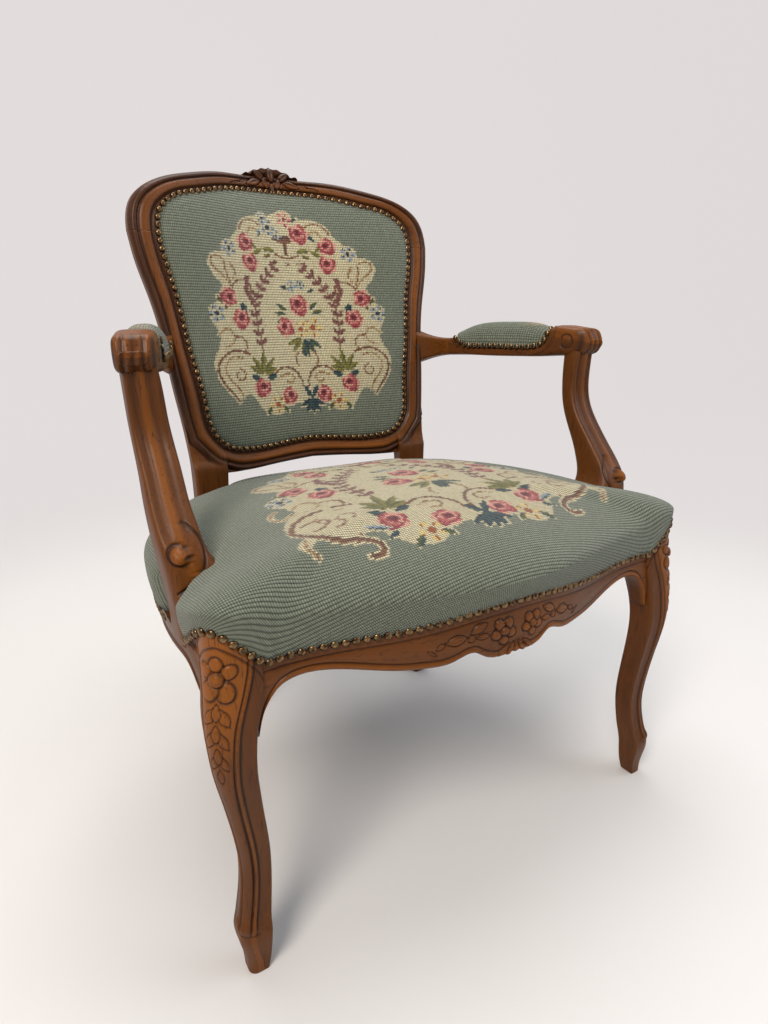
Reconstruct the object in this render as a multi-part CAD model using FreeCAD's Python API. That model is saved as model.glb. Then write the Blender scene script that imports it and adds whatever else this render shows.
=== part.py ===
import FreeCAD, Part
import math
import os
from FreeCAD import Vector

# An open armchair with a hollowed back, cabriolet front legs and needlepoint covers.
# X runs to the right as seen from the front, Y to the back and Z up, all in millimetres.
# The origin is on the floor under the middle of the chair.
# Left and right are as seen from the front, and the right piece is made first and mirrored.

# Seat frame
leg_x = 289.0                # middle of the knee block, from the middle of the chair
leg_y = -260.0
knee_top = 386.0             # top of the knee block under the cover
knee_side = 49.0
ankle_side = 29.0
foot_side = 32.0
toe_side = 20.0
rail_thickness = 26.0
rail_set_back = 4.5          # rail faces lie this far behind the faces of the knee block
rail_bow = 44.0              # the front rail bows forward by this in the middle
rail_low = 301.0             # lower edge of the front rail in the middle
rail_top = 356.0             # top of the rails at the legs
rail_rise = 15.0             # the front rail's top rises by this to the middle
tack_margin = 9.0            # width of the ledge above the nail line
rebate = 2.6                 # depth of the ledge that takes the cover
side_bow_x = 316.0           # outermost reach of the side rail
rear_rail_low = 306.0

# Rear legs and back frame
lower_rail_low = 420.0       # lower edge of the back's lower rail
leg_splice = lower_rail_low + 5.0    # height where the rear leg turns into the back frame
stile_x = 178.5              # middle of the rear leg at the seat
stile_width = 47.0
stile_depth = 29.0
stile_y = 156.5
rear_foot = 26.0
rear_foot_y = 128.0
back_foot_y = 141.0          # front face of the back frame at back_foot_z, beside the stiles
back_foot_z = 420.0
back_slope = 0.195           # the back leans by this much per unit of height
hollow_low = 26.0            # how deep the back is hollowed at its lower edge
hollow_rate = 0.112          # and how much more per unit of height
hollow_reach = 235.0         # half the width of the hollow
back_thickness = 24.5
shoulder_z = 760.0           # joint of the stile and the crest rail
crest_z = 862.0              # top of the crest rail beside its carving
crest_carving = 17.0         # how far the carving stands above it
back_rebate = 6.0            # depth of the ledge for the back's upholstery
post_inner = 152.0           # inner face of the stile under the back frame
lower_rail_arch = 6.0

# Arms
arm_top = 632.0
arm_low = 586.0
arm_width = 43.0
arm_front_y = -117.0
arm_front_x = 318.0
arm_near = 180.0             # the arms lie between these places in x
arm_far = 380.0
pad_floor = 595.0
pad_top = 638.0
support_foot = 338.0

# Joinery and small parts
tenon_length = 22.0
tenon_thickness = 10.0
tenon_height = 30.0
glue_gap = 0.15
screw_radius = 2.2
screw_length = 38.0
block_low = 332.0
block_high = 352.0

# Upholstery
cover = 2.0                  # thickness of the needlepoint with its backing
soft_gap = 0.3               # between a soft piece and its neighbour
seat_swell = 8.0             # the seat's side swells this far over the nail line
seat_swell_z = 386.0
seat_crown = 64.0            # height of the crown over the swell
crown_y = -158.0
skirt_low = 346.0
hessian_rise = 53.0
webbing_z = 326.0
webbing_width = 50.0
webbing_thickness = 1.5
spring_wire = 3.4
spring_radius = 36.0
spring_waist = 25.0
spring_turns = 3.5
dust_cover_z = 323.0
back_pad_crown = 15.0
pad_half_width = 200.0
pad_half_height = 197.0
back_middle = 648.0          # height of the middle of the upholstered back
pad_back = 1.6               # the back's pad ends this far behind the frame's front face
back_strap_step = 92.0
outside_cover = 2.0

os.makedirs("parts", exist_ok=True)

knee_half = knee_side / 2
rail_half = leg_x - knee_half
rail_face_y = leg_y - knee_half + rail_set_back


def mirrored(shape):
    return shape.mirror(Vector(0, 0, 0), Vector(1, 0, 0))


def polygon(points):
    return Part.makePolygon([Vector(*p) for p in points] + [Vector(*points[0])])


def spline(points):
    curve = Part.BSplineCurve()
    curve.interpolate([Vector(*p) for p in points])
    return curve


def smooth(points, per_span=3):
    """Points along the curve through the given ones, per_span to each span."""
    curve = spline(points)
    stops = [curve.parameter(Vector(*p)) for p in points]
    found = []
    for first, second in zip(stops, stops[1:]):
        found += [tuple(curve.value(first + (second - first) * i / per_span)) for i in range(per_span)]
    return found + [tuple(points[-1])]


def flat_face(points):
    return Part.Face(polygon(points))


def side_faces(a, b, c, d):
    """One flat face through four corners, or two triangles where they don't lie in a plane.

    The shared edge runs from the corner nearer the middle of the chair, so both halves match.
    """
    corners = [Vector(*p) for p in (a, b, c, d)]
    normal = (corners[1] - corners[0]).cross(corners[2] - corners[0])
    flat = normal.Length > 1e-9 and abs((corners[3] - corners[0]).dot(normal)) / normal.Length < 1e-6
    if flat:
        return [flat_face((a, b, c, d))]
    if abs(a[0]) <= abs(c[0]):
        return [flat_face((a, b, c)), flat_face((a, c, d))]
    return [flat_face((a, b, d)), flat_face((b, c, d))]


def facet_loft(rings):
    """Solid through closed rings with the same number of points, with flat facets between them."""
    faces = [flat_face(rings[0]), flat_face(rings[-1])]
    count = len(rings[0])
    for low, high in zip(rings, rings[1:]):
        for i in range(count):
            j = (i + 1) % count
            faces += side_faces(low[i], low[j], high[j], high[i])
    solid = Part.makeSolid(Part.makeShell(faces))
    if solid.Volume < 0:
        solid.reverse()
    return solid


def box(low, high):
    size = [b - a for a, b in zip(low, high)]
    return Part.makeBox(*size, Vector(*low))


def save(shape, name):
    solids = shape.Solids
    result = solids[0] if len(solids) == 1 else Part.makeCompound(solids)
    if not solids or not result.isValid():
        print("check", name, len(solids), result.isValid())
    result.exportStep("parts/" + name + ".step")
    print(name, len(solids), round(result.Volume / 1000, 1), "cm3")
    return result


def save_pair(shape, name):
    save(shape, name + "_right")
    save(mirrored(shape), name + "_left")


def elevation(points, depth_low, depth_high):
    """A closed outline of (x, z) points, made solid from depth_low to depth_high in Y."""
    face = flat_face([(x, depth_low, z) for x, z in points])
    return face.extrude(Vector(0, depth_high - depth_low, 0))


def side_view(points, x_low, x_high):
    """A closed outline of (y, z) points, made solid from x_low to x_high."""
    face = flat_face([(x_low, y, z) for y, z in points])
    return face.extrude(Vector(x_high - x_low, 0, 0))


def smooth_pairs(points, per_span=3):
    return [(x, y) for x, y, zero in smooth([(x, y, 0) for x, y in points], per_span)]


def offset_points(points, distance):
    """Plan points moved to the left of the line's own direction by distance."""
    curve = spline([(x, y, 0) for x, y in points])
    moved = []
    for x, y in points:
        parameter = curve.parameter(Vector(x, y, 0))
        tangent = curve.tangent(parameter)[0]
        moved.append((x - tangent.y * distance, y + tangent.x * distance))
    return moved


def plan_band(points, near, far, low, high):
    """A strip along a plan curve, between two offsets of it, from height low to high."""
    outline = offset_points(points, near) + offset_points(points, far)[::-1]
    return flat_face([(x, y, low) for x, y in outline]).extrude(Vector(0, 0, high - low))


def knee_section(x, y, z, side):
    """Square section with a round outer front corner and eased other corners."""
    half = side / 2
    ease = 0.08 * side
    round_corner = 0.42 * side
    points = [(-half, half - ease), (-half, -half + ease), (-half + ease, -half)]
    for angle in (0, 30, 60, 90):
        turn = math.radians(angle)
        points.append((half - round_corner + round_corner * math.sin(turn),
                       -half + round_corner - round_corner * math.cos(turn)))
    points += [(half, half - ease), (half - ease, half), (-half + ease, half)]
    return [(x + a, y + b, z) for a, b in points]


def eased_section(center, half_x, half_y, ease):
    """Rectangle with cut corners in a level plane."""
    x, y, z = center
    corners = [(-half_x, half_y - ease), (-half_x, -half_y + ease), (-half_x + ease, -half_y),
               (half_x - ease, -half_y), (half_x, -half_y + ease), (half_x, half_y - ease),
               (half_x - ease, half_y), (-half_x + ease, half_y)]
    return [(x + a, y + b, z) for a, b in corners]


def make_front_leg():
    """Cabriolet leg: the section swings out at the knee, in at the ankle and out at the toe."""
    share_shift_side = [
        (0.000, 3.0, -18.0, toe_side), (0.031, 2.0, -17.0, toe_side + 3.0),
        (0.078, 3.0, -17.0, foot_side - 4.0), (0.130, 4.0, -17.0, foot_side),
        (0.181, 1.0, -13.0, foot_side - 1.0), (0.233, -2.5, -10.0, ankle_side + 0.5),
        (0.311, -5.0, -7.5, ankle_side), (0.389, -3.5, -8.0, ankle_side + 1.0),
        (0.466, 0.5, -9.5, ankle_side + 2.5), (0.544, 5.0, -11.5, ankle_side + 5.0),
        (0.622, 9.0, -12.5, ankle_side + 8.5), (0.699, 9.5, -10.5, knee_side - 7.5),
        (0.751, 8.0, -7.5, knee_side - 4.0), (0.803, 4.5, -5.0, knee_side - 1.0),
        (0.868, 1.0, -1.5, knee_side), (0.920, 0.0, 0.0, knee_side), (1.000, 0.0, 0.0, knee_side)]
    return facet_loft([knee_section(leg_x + dx, leg_y + dy, share * knee_top, side)
                       for share, dx, dy, side in share_shift_side])


def front_line():
    points = []
    steps = 20
    for i in range(steps + 1):
        x = -rail_half - 14 + (2 * rail_half + 28) * i / steps
        share = min(abs(x) / rail_half, 1.0)
        points.append((x, rail_face_y - rail_bow * (0.5 + 0.5 * math.cos(math.pi * share))))
    return points


def nail_height(x):
    """Height of the front nail line: high in the middle, a low at two thirds, up to the knee."""
    share = abs(x) / rail_half
    middle = rail_rise * max(0.0, math.cos(math.pi * min(share, 0.6) / 1.2)) ** 2
    return rail_top - tack_margin + middle + 3.5 * math.sin(math.pi * share) * share


def mirrored_outline(half_points):
    """Points listed from the middle outwards become one list from left to right."""
    left = [(-x, z) for x, z in half_points if x > 0]
    return left[::-1] + list(half_points)


def make_front_rail(leg_pair):
    """Bowed and shaped rail with a tongue in the middle of its lower edge."""
    apron = [(0, 0), (20, -2), (38, 2), (50, 9), (75, 4), (105, 2), (130, 4), (160, 10), (190, 17),
             (222, 21), (242, 17), (255, 8), (rail_half, -9)]
    low_edge = smooth_pairs([(x, rail_low + dz) for x, dz in mirrored_outline(apron)], 2)
    xs = [rail_half * i / 8 for i in range(-8, 9)]
    top_edge = [(x, nail_height(x) + tack_margin) for x in xs]
    reach = rail_half + 10
    outline = low_edge + [(reach, low_edge[-1][1]), (reach, top_edge[-1][1])]
    outline += top_edge[::-1] + [(-reach, top_edge[0][1]), (-reach, low_edge[0][1])]
    front = rail_face_y - rail_bow - 20
    band = plan_band(front_line(), 0, rail_thickness, rail_low - 40, rail_top + 60)
    rail = band.common(elevation(outline, front, rail_face_y + 60))
    ledge_line = [(x, nail_height(x) - 4) for x in xs]
    ledge_line += [(rail_half, rail_top + 60), (-rail_half, rail_top + 60)]
    ledge = plan_band(front_line(), -5, rebate, rail_low - 40, rail_top + 60)
    rail = rail.cut(ledge.common(elevation(ledge_line, front, rail_face_y + 60)))
    for leg in leg_pair:
        rail = rail.cut(leg)
    for tenon in front_tenons(0):
        rail = rail.fuse(tenon)
    return rail


def front_tenons(gap):
    y = rail_face_y + rail_thickness / 2
    z = rail_top - 22
    half_y = tenon_thickness / 2 + gap
    half_z = tenon_height / 2 + gap
    right = box((rail_half - 3, y - half_y, z - half_z),
                (rail_half + tenon_length + gap, y + half_y, z + half_z))
    return [right, mirrored(right)]


def side_line():
    """Plan curve of the side rail's outer face, from the front leg to the rear leg."""
    leg_face = leg_x + knee_half - rail_set_back + 2
    stile_face = stile_x + stile_width / 2
    span = stile_y - stile_depth / 2 - leg_y - knee_half
    start = leg_y + knee_half
    shares = [(-0.02, leg_face), (0.12, side_bow_x - 1), (0.28, side_bow_x), (0.46, side_bow_x - 7),
              (0.65, side_bow_x - 27), (0.81, stile_face + 51), (0.93, stile_face + 17),
              (1.02, stile_face + 0.5)]
    return smooth_pairs([(x, start + share * span) for share, x in shares], 2)


def side_tenons(gap):
    z = rail_top - 22
    half_z = tenon_height / 2 + gap
    half_x = tenon_thickness / 2 + gap
    front_x = leg_x + knee_half - 14
    rear_x = stile_x + stile_width / 2 - 13
    front_y = leg_y + knee_half
    rear_y = stile_y - stile_depth / 2
    front = box((front_x - half_x, front_y - tenon_length + 2 - gap, z - half_z),
                (front_x + half_x, front_y + 3, z + half_z))
    rear = box((rear_x - half_x, rear_y - 3, z - half_z),
               (rear_x + half_x, rear_y + tenon_length - 6 + gap, z + half_z))
    return [front, rear]


def make_side_rail(leg, stile, support):
    start = leg_y + knee_half
    end = stile_y - stile_depth / 2
    low = [(start - 10, rail_low - 6), (start + 6, rail_low + 4), (start + 20, rail_low + 14),
           (start + 60, rail_low + 20), (start + 200, rail_low + 19), (start + 310, rail_low + 12),
           (end + 8, rear_rail_low)]
    outline = smooth_pairs(low, 2) + [(end + 8, rail_top), (start - 10, rail_top)]
    shape = side_view(outline, 0, side_bow_x + 30)
    band = plan_band(side_line(), 0, rail_thickness, rail_low - 20, rail_top + 20)
    rail = band.common(shape)
    ledge = plan_band(side_line(), -5, rebate, rail_top - tack_margin - 4, rail_top + 20)
    rail = rail.cut(ledge).cut(leg).cut(stile).cut(support)
    for tenon in side_tenons(0):
        rail = rail.fuse(tenon)
    return rail


def make_rear_rail(stile_pair):
    half = stile_x - stile_width / 2
    back = stile_y + stile_depth / 2 - 2
    rail = box((-half - 6, back - rail_thickness, rear_rail_low), (half + 6, back, rail_top))
    for stile in stile_pair:
        rail = rail.cut(stile)
    for tenon in rear_tenons(0):
        rail = rail.fuse(tenon)
    return rail


def rear_tenons(gap):
    y = stile_y + stile_depth / 2 - 2 - rail_thickness / 2
    z = rail_top - 24
    face = stile_x - stile_width / 2
    half_y = tenon_thickness / 2 + gap
    half_z = tenon_height / 2 + gap
    right = box((face - 4, y - half_y, z - half_z),
                (face + tenon_length + gap, y + half_y, z + half_z))
    return [right, mirrored(right)]


def back_front(x, z):
    """Depth of the back frame's front face: it leans back and is hollowed towards the middle."""
    reach = min(abs(x) / hollow_reach, 1.0)
    hollow = hollow_low + hollow_rate * (z - leg_splice)
    lean = back_foot_y + back_slope * (z - back_foot_z)
    return lean + hollow * (0.5 + 0.5 * math.cos(math.pi * reach))


def curved_slab(front, back, xs, zs):
    """A slab between two depth functions of x and z, built up from level sections."""
    rings = []
    for z in zs:
        near = [(x, front(x, z), z) for x in xs]
        far = [(x, back(x, z), z) for x in xs]
        rings.append(near + far[::-1])
    return facet_loft(rings)


def frame_slab(near, far):
    """Wood layer between two offsets behind the hollowed front face."""
    xs = [hollow_reach * 1.08 * i / 8 for i in range(-8, 9)]
    zs = [leg_splice - 40, 520, 620, 720, 800, crest_z + crest_carving + 12]
    return curved_slab(lambda x, z: back_front(x, z) + near,
                       lambda x, z: back_front(x, z) + far, xs, zs)


# Half outlines of the back, as seen from the front
stile_outer = [(stile_x + stile_width / 2, leg_splice - 32), (203, 436), (208, 500), (214, 550), (222, 635),
               (231, 680), (241, 722), (246, shoulder_z)]
crest_outer = [(246, shoulder_z), (244, 782), (236, 803), (204, 829), (147, 848), (91, 860),
               (45, crest_z + 1)]
nail_line = [(0, 458), (45, 455), (92, 452), (113, 453), (138, 457), (153, 466), (164, 480),
             (173, 530), (185, 605), (194, 680), (206, 748), (206, 770), (200, 791), (185, 806),
             (165, 816), (140, 822), (105, 831), (60, 838), (0, 840)]
stile_inner = [(post_inner, 476), (156, 505), (167, 565), (177, 640), (187, 711), (192, shoulder_z)]
crest_inner = [(192, shoulder_z), (190, 775), (184, 785), (160, 802), (137, 808), (103, 817),
               (60, 824), (0, 826)]


def depth_range():
    low = back_front(hollow_reach, back_foot_z) - 60
    high = back_front(0, crest_z) + 60
    return low, high


def upholstery_outline(inset, low_depth, high_depth):
    """The nail line moved in by inset, as a solid through the whole depth of the back."""
    points = []
    for x, z in nail_line:
        length = math.hypot(x, z - back_middle)
        points.append((x * (1 - inset / length), back_middle + (z - back_middle) * (1 - inset / length)))
    return elevation(points + [(-x, z) for x, z in points[1:-1][::-1]], low_depth, high_depth)


def make_rebate():
    low, high = depth_range()
    return frame_slab(-8, back_rebate).common(upholstery_outline(-5.0, low, high))


def make_stile(slab, rebate_tool):
    """Rear leg below and side of the back frame above, in one piece of wood."""
    height_x_y_size = [(0.0, stile_x + 4, rear_foot_y, rear_foot, rear_foot),
                       (60.0, stile_x + 4, rear_foot_y + 2, rear_foot + 2, rear_foot + 2),
                       (150.0, stile_x + 3, rear_foot_y + 12, rear_foot + 5, rear_foot + 5),
                       (240.0, stile_x + 2, stile_y - 6, stile_width - 12, stile_depth + 2),
                       (300.0, stile_x + 1, stile_y - 1, stile_width - 2, stile_depth + 1),
                       (360.0, stile_x, stile_y, stile_width, stile_depth),
                       (leg_splice, stile_x, stile_y, stile_width, stile_depth)]
    leg = facet_loft([eased_section((x, y, z), wide / 2, deep / 2, 2.5)
                      for z, x, y, wide, deep in height_x_y_size])
    low, high = depth_range()
    outline = smooth_pairs(stile_outer, 2) + smooth_pairs(stile_inner[::-1], 2)
    outline += [(post_inner, lower_rail_low), (stile_x - stile_width / 2, leg_splice - 32)]
    upper = slab.common(elevation(outline, low, high)).cut(rebate_tool)
    return leg.fuse(upper)


def make_crest(slab, rebate_tool):
    low, high = depth_range()
    outer = smooth_pairs(crest_outer, 3)
    carving = [(45, 1.0), (30, 0.5 * crest_carving), (14, 0.75 * crest_carving), (0, crest_carving)]
    right = outer + smooth_pairs([(x, crest_z + rise) for x, rise in carving], 3)[1:]
    inner = smooth_pairs(crest_inner, 2)
    half = right[::-1] + inner
    outline = half + [(-x, z) for x, z in half[1:-1][::-1]]
    crest = slab.common(elevation(outline, low, high)).cut(rebate_tool)
    for tenon in crest_tenons(0):
        crest = crest.fuse(tenon)
    return crest


def crest_tenons(gap):
    x = 218.0
    y = back_front(x, shoulder_z) + back_thickness / 2 + 1
    right = box((x - 13 - gap, y - 5 - gap, shoulder_z - 20 - gap), (x + 13 + gap, y + 5 + gap, shoulder_z + 4))
    return [right, mirrored(right)]


def make_lower_rail(slab, rebate_tool, stile_pair):
    low, high = depth_range()
    half = post_inner + 6
    bottom = [(0, lower_rail_low + lower_rail_arch), (40, lower_rail_low + 4), (75, lower_rail_low + 2),
              (110, lower_rail_low), (half, lower_rail_low + 1)]
    top = [(0, 472), (45, 469), (92, 466), (120, 468), (half, 477)]
    outline = smooth_pairs(mirrored_outline(bottom), 2) + smooth_pairs(mirrored_outline(top), 2)[::-1]
    rail = slab.common(elevation(outline, low, high)).cut(rebate_tool)
    for stile in stile_pair:
        rail = rail.cut(stile)
    for tenon in lower_tenons(0):
        rail = rail.fuse(tenon)
    return rail


def lower_tenons(gap):
    z = 0.5 * (lower_rail_low + 470)
    y = back_front(post_inner, z) + 0.5 * (back_thickness + back_rebate)
    right = box((post_inner - 4, y - 5 - gap, z - 14 - gap),
                (post_inner + tenon_length + gap, y + 5 + gap, z + 14 + gap))
    return [right, mirrored(right)]


def arm_axis(y):
    """The arm runs out from the stile to its front end in a shallow curve."""
    back_y = 180.0
    back_x = stile_outer[4][0] + 7
    share = (back_y - y) / (back_y - arm_front_y)
    straight = back_x + (arm_front_x - back_x) * share
    return straight - 12.0 * max(0.0, 1 - share / 0.16) ** 2


def arm_section(y, width, low, high):
    ease = 0.16 * min(width, high - low)
    x = arm_axis(y)
    half = width / 2
    points = [(-half, low + ease), (-half + ease, low), (half - ease, low), (half, low + ease),
              (half, high - ease), (half - ease, high), (-half + ease, high), (-half, high - ease)]
    return [(x + a, y, z) for a, z in points]


def make_arm(stile, support_tenon_gap):
    """Arm with a flare at the stile, a cradle for the pad and a raised knuckle at the front."""
    y_width_low_high = [(192, 22, 570, 623), (176, 22, 574, 618), (160, 23, 579, 614), (142, 26, 583, 612),
                        (112, 32, 585, 613), (82, 38, arm_low, 613), (40, 42, arm_low, 613),
                        (-20, arm_width, arm_low + 1, 613), (-50, arm_width, arm_low + 2, 621),
                        (-64, arm_width, arm_low + 3, arm_top - 1), (-84, arm_width, arm_low + 4, arm_top),
                        (-101, arm_width - 1, arm_low + 5, arm_top - 2),
                        (-112, arm_width - 5, arm_low + 8, arm_top - 8),
                        (arm_front_y, arm_width - 13, arm_low + 14, arm_top - 17)]
    arm = facet_loft([arm_section(*row) for row in y_width_low_high])
    recess = side_view(cradle_outline(0), arm_near, arm_far)
    return arm.cut(recess).cut(stile).cut(support_tenon_gap)


def cradle_outline(gap):
    return [(-61 + gap, 660), (-59 + gap, 616), (-47, 602 + gap), (-38, pad_floor + gap),
            (82, pad_floor + gap), (91, 601 + gap), (107 - gap, 615), (109 - gap, 660)]


def pad_section(y, width, top):
    half = width / 2
    rise = top - pad_floor - 1
    x = arm_axis(y)
    points = [(-half, pad_floor)]
    for angle in range(180, -1, -30):
        turn = math.radians(angle)
        points.append((half * math.cos(turn), pad_floor + 1 + rise * math.sin(turn) ** 0.8))
    points.append((half, pad_floor))
    return [(x + a, y, z) for a, z in points]


def pad_solid(shrink):
    """Crowned arm pad, drawn in by shrink all round."""
    y_width_top = [(107, 24, pad_floor + 14), (98, 31, pad_floor + 22), (80, 37, pad_top - 12),
                   (50, 40, pad_top - 5), (15, 42, pad_top), (-20, 43, pad_top), (-44, 42, pad_top - 5),
                   (-55, 38, pad_top - 14), (-59, 32, pad_top - 24)]
    rings = []
    for y, width, top in y_width_top:
        place = y - shrink * (1 if y > 100 else -1 if y < -50 else 0)
        rings.append(pad_section(place, width - 2 * shrink, top - shrink))
    return facet_loft(rings)


def make_support():
    """Arm support: a wide foot on the side rail, swept back and up to the arm."""
    z_x_y = [(support_foot, 288, 318, -206, -150), (365, 274, 319, -205, -146),
             (386, 265, 321, -202, -140), (405, 275, 323, -197, -136), (425, 282, 325, -191, -132),
             (445, 284, 326, -178, -125), (465, 285, 326, -160, -116), (490, 285, 325, -139, -104),
             (520, 286, 325, -116, -91), (545, 287, 326, -108, -85), (572, 288, 328, -106, -82),
             (arm_low + 10, 290, 332, -106, -80)]
    rings = []
    for z, x_low, x_high, y_front, y_back in z_x_y:
        center = (0.5 * (x_low + x_high), 0.5 * (y_front + y_back), z)
        rings.append(eased_section(center, 0.5 * (x_high - x_low), 0.5 * (y_back - y_front), 4.0))
    body = facet_loft(rings)
    boss = round_bar(Vector(311, -196, 427), Vector(0, 1, 0), 9.5, 9.5, 16)
    return body.fuse(boss)


def support_tenon(gap):
    x, y = arm_axis(-93), -93.0
    half = 7.0 + gap
    return box((x - half, y - half, arm_low - 4), (x + half, y + half, arm_low + 28 + gap))


def corner_block(plan, neighbours):
    """Triangular block fitted between two rails and the leg."""
    face = flat_face([(x, y, block_low) for x, y in plan])
    block = face.extrude(Vector(0, 0, block_high - block_low))
    for other in neighbours:
        block = block.cut(other)
    return max(block.Solids, key=lambda solid: solid.Volume)


def round_bar(start, way, radius, end_radius, length):
    """Eight-sided bar or taper, for small turned and fastening pieces."""
    side = way.cross(Vector(0, 0, 1)).normalize()
    lift = side.cross(way).normalize()
    rings = []
    for place, size in ((start, radius), (start + way * length, end_radius)):
        ring_points = []
        for i in range(8):
            turn = math.radians(45 * i + 22.5)
            ring_points.append(tuple(place + side * (size * math.cos(turn)) + lift * (size * math.sin(turn))))
        rings.append(ring_points)
    return facet_loft(rings)


def screw(start, direction, gap):
    """Countersunk wood screw; with a gap it is the hole that takes it."""
    way = Vector(*direction).normalize()
    begin = Vector(*start)
    shank = round_bar(begin, way, screw_radius + gap, screw_radius + gap, screw_length + gap)
    head = round_bar(begin, way, 2.1 * screw_radius + gap, screw_radius + gap, 3.0)
    return shank.fuse(head)


def rim_points():
    """Plan line of the wood that the seat's cover is nailed to, right half, from the front."""
    front = [(rail_half * share, rail_face_y - rail_bow * (0.5 + 0.5 * math.cos(math.pi * share)))
             for share in (0.0, 0.2, 0.4, 0.6, 0.8)]
    front[-1] = (front[-1][0], front[-1][1] - 0.5)
    face = knee_half
    knee = [(leg_x - 8, leg_y - face - 1), (leg_x + 0.72 * face, leg_y - 0.8 * face),
            (leg_x + face + 1, leg_y - 0.1 * face)]
    side = [(x + 1.0, y) for x, y in side_line()[1:-1]]
    back = stile_y + stile_depth / 2
    rear = [(stile_x + stile_width / 2 + 2, stile_y - 4), (stile_x + stile_width / 2 - 6, back),
            (stile_x - 60, back), (0.0, back)]
    return front + knee + side + rear


def ring(out, z, share):
    """Closed plan ring: the rim moved out by out and then drawn towards the crown by share."""
    half = rim_points()
    full = half + [(-x, y) for x, y in half[1:-1][::-1]]
    count = len(full)
    points = []
    for i, (x, y) in enumerate(full):
        before = full[i - 1]
        after = full[(i + 1) % count]
        dx, dy = after[0] - before[0], after[1] - before[1]
        length = math.hypot(dx, dy)
        px = x + out * dy / length
        py = y - out * dx / length
        points.append((share * px, crown_y + share * (py - crown_y), z))
    return points


def crown_height(share):
    return seat_crown * (1 - share ** 2) ** 0.63


def seat_solid(inset, low):
    """The upholstered seat's outer form, drawn in by inset, standing from height low."""
    skirt = cover + soft_gap
    rings = [ring(skirt - inset, low, 1.0), ring(skirt + 0.7 * seat_swell - inset, 368, 1.0),
             ring(skirt + seat_swell - inset, seat_swell_z, 1.0)]
    for share in (0.965, 0.9, 0.78, 0.6, 0.35, 0.12):
        rings.append(ring(skirt + seat_swell - inset,
                          seat_swell_z + crown_height(share) - inset, share))
    return facet_loft(rings)


def hessian_solid(drop):
    rings = []
    for share, rise in ((0.93, 0.0), (0.86, 0.5), (0.65, 0.87), (0.2, 1.0)):
        rings.append(ring(0, rail_top + 1.0 + hessian_rise * rise - (drop if rise > 0 else 0),
                          share - (0.012 if drop and rise < 0.95 else 0)))
    return facet_loft(rings)


def skirt_trim():
    """Space under the nail line at the front, where the cover ends on the rail and the knees."""
    xs = [rail_half * i / 10 for i in range(11)]
    half = [(x, nail_height(x) - 5) for x in xs]
    half += [(leg_x - 8, 361), (leg_x + 6, 372), (leg_x + 40, 382)]
    line = mirrored_outline(half)
    return elevation(line + [(line[-1][0], 300), (line[0][0], 300)], -420, leg_y + 4)


def make_spring(x, y, low, high):
    """Waisted coil spring, one unbroken wire of square section, flat at its two ends."""
    steps = int(spring_turns * 10)
    rise = high - low - spring_wire
    half = spring_wire / 2
    rings = []
    for i in range(steps + 1):
        t = i / steps
        turn = 2 * math.pi * spring_turns * t
        radius = spring_waist + (spring_radius - spring_waist) * (2 * t - 1) ** 2
        z = low + half + rise * min(max((t - 0.12) / 0.76, 0.0), 1.0)
        rings.append([(x + (radius + a * half) * math.cos(turn), y + (radius + a * half) * math.sin(turn),
                       z + b * half) for a, b in ((-1, -1), (1, -1), (1, 1), (-1, 1))])
    return facet_loft(rings)


def clear_of(shape, others):
    for other in others:
        shape = shape.cut(other)
    return shape


def largest(shape):
    return max(shape.Solids, key=lambda solid: solid.Volume)


# Wood, right side first where there are two
leg_blank = make_front_leg()
slab = frame_slab(0, back_thickness)
rebate_tool = make_rebate()
stile_blank = make_stile(slab, rebate_tool)
stile_blanks = [stile_blank, mirrored(stile_blank)]
support_blank = make_support()
arm = make_arm(stile_blank, support_tenon(glue_gap))
support = support_blank.cut(arm).fuse(support_tenon(0))

front_rail = make_front_rail([leg_blank, mirrored(leg_blank)])
side_rail = make_side_rail(leg_blank, stile_blank, support_blank)
rear_rail = make_rear_rail(stile_blanks)
lower_rail = make_lower_rail(slab, rebate_tool, stile_blanks)
crest = make_crest(slab, rebate_tool)
leg = leg_blank.cut(front_tenons(glue_gap)[0]).cut(side_tenons(glue_gap)[0])
stile = clear_of(stile_blank, [side_tenons(glue_gap)[1], rear_tenons(glue_gap)[0],
                               lower_tenons(glue_gap)[0], crest_tenons(glue_gap)[0]])

front_block_plan = [(rail_half - 75, rail_face_y + 18), (leg_x, leg_y - 10), (leg_x + 10, leg_y + 20),
                    (leg_x + 8, leg_y + 120)]
rear_block_plan = [(stile_x - 78, stile_y + 6), (stile_x, stile_y + 6), (stile_x + 26, stile_y - 14),
                   (stile_x + 62, stile_y - 88)]
front_block = corner_block(front_block_plan, [front_rail, side_rail, leg, support_blank])
rear_block = corner_block(rear_block_plan, [rear_rail, side_rail, stile])
screw_z = 0.5 * (block_low + block_high)
screw_places = [((rail_half - 34, rail_face_y + 66, screw_z), (0.25, -1, 0)),
                ((leg_x - 42, leg_y + 62, screw_z), (1, -0.1, 0)),
                ((stile_x - 34, stile_y - 26, screw_z), (-0.1, 1, 0)),
                ((stile_x + 5, stile_y - 55, screw_z), (1, 0.35, 0))]
holes = [screw(start, way, glue_gap) for start, way in screw_places]
front_block = clear_of(front_block, holes)
rear_block = clear_of(rear_block, holes)
front_rail = clear_of(front_rail, holes + [mirrored(hole) for hole in holes])
rear_rail = clear_of(rear_rail, holes + [mirrored(hole) for hole in holes])
side_rail = clear_of(side_rail, holes)
leg = clear_of(leg, holes)
stile = clear_of(stile, holes)
screws = [screw(start, way, 0) for start, way in screw_places]

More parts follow.
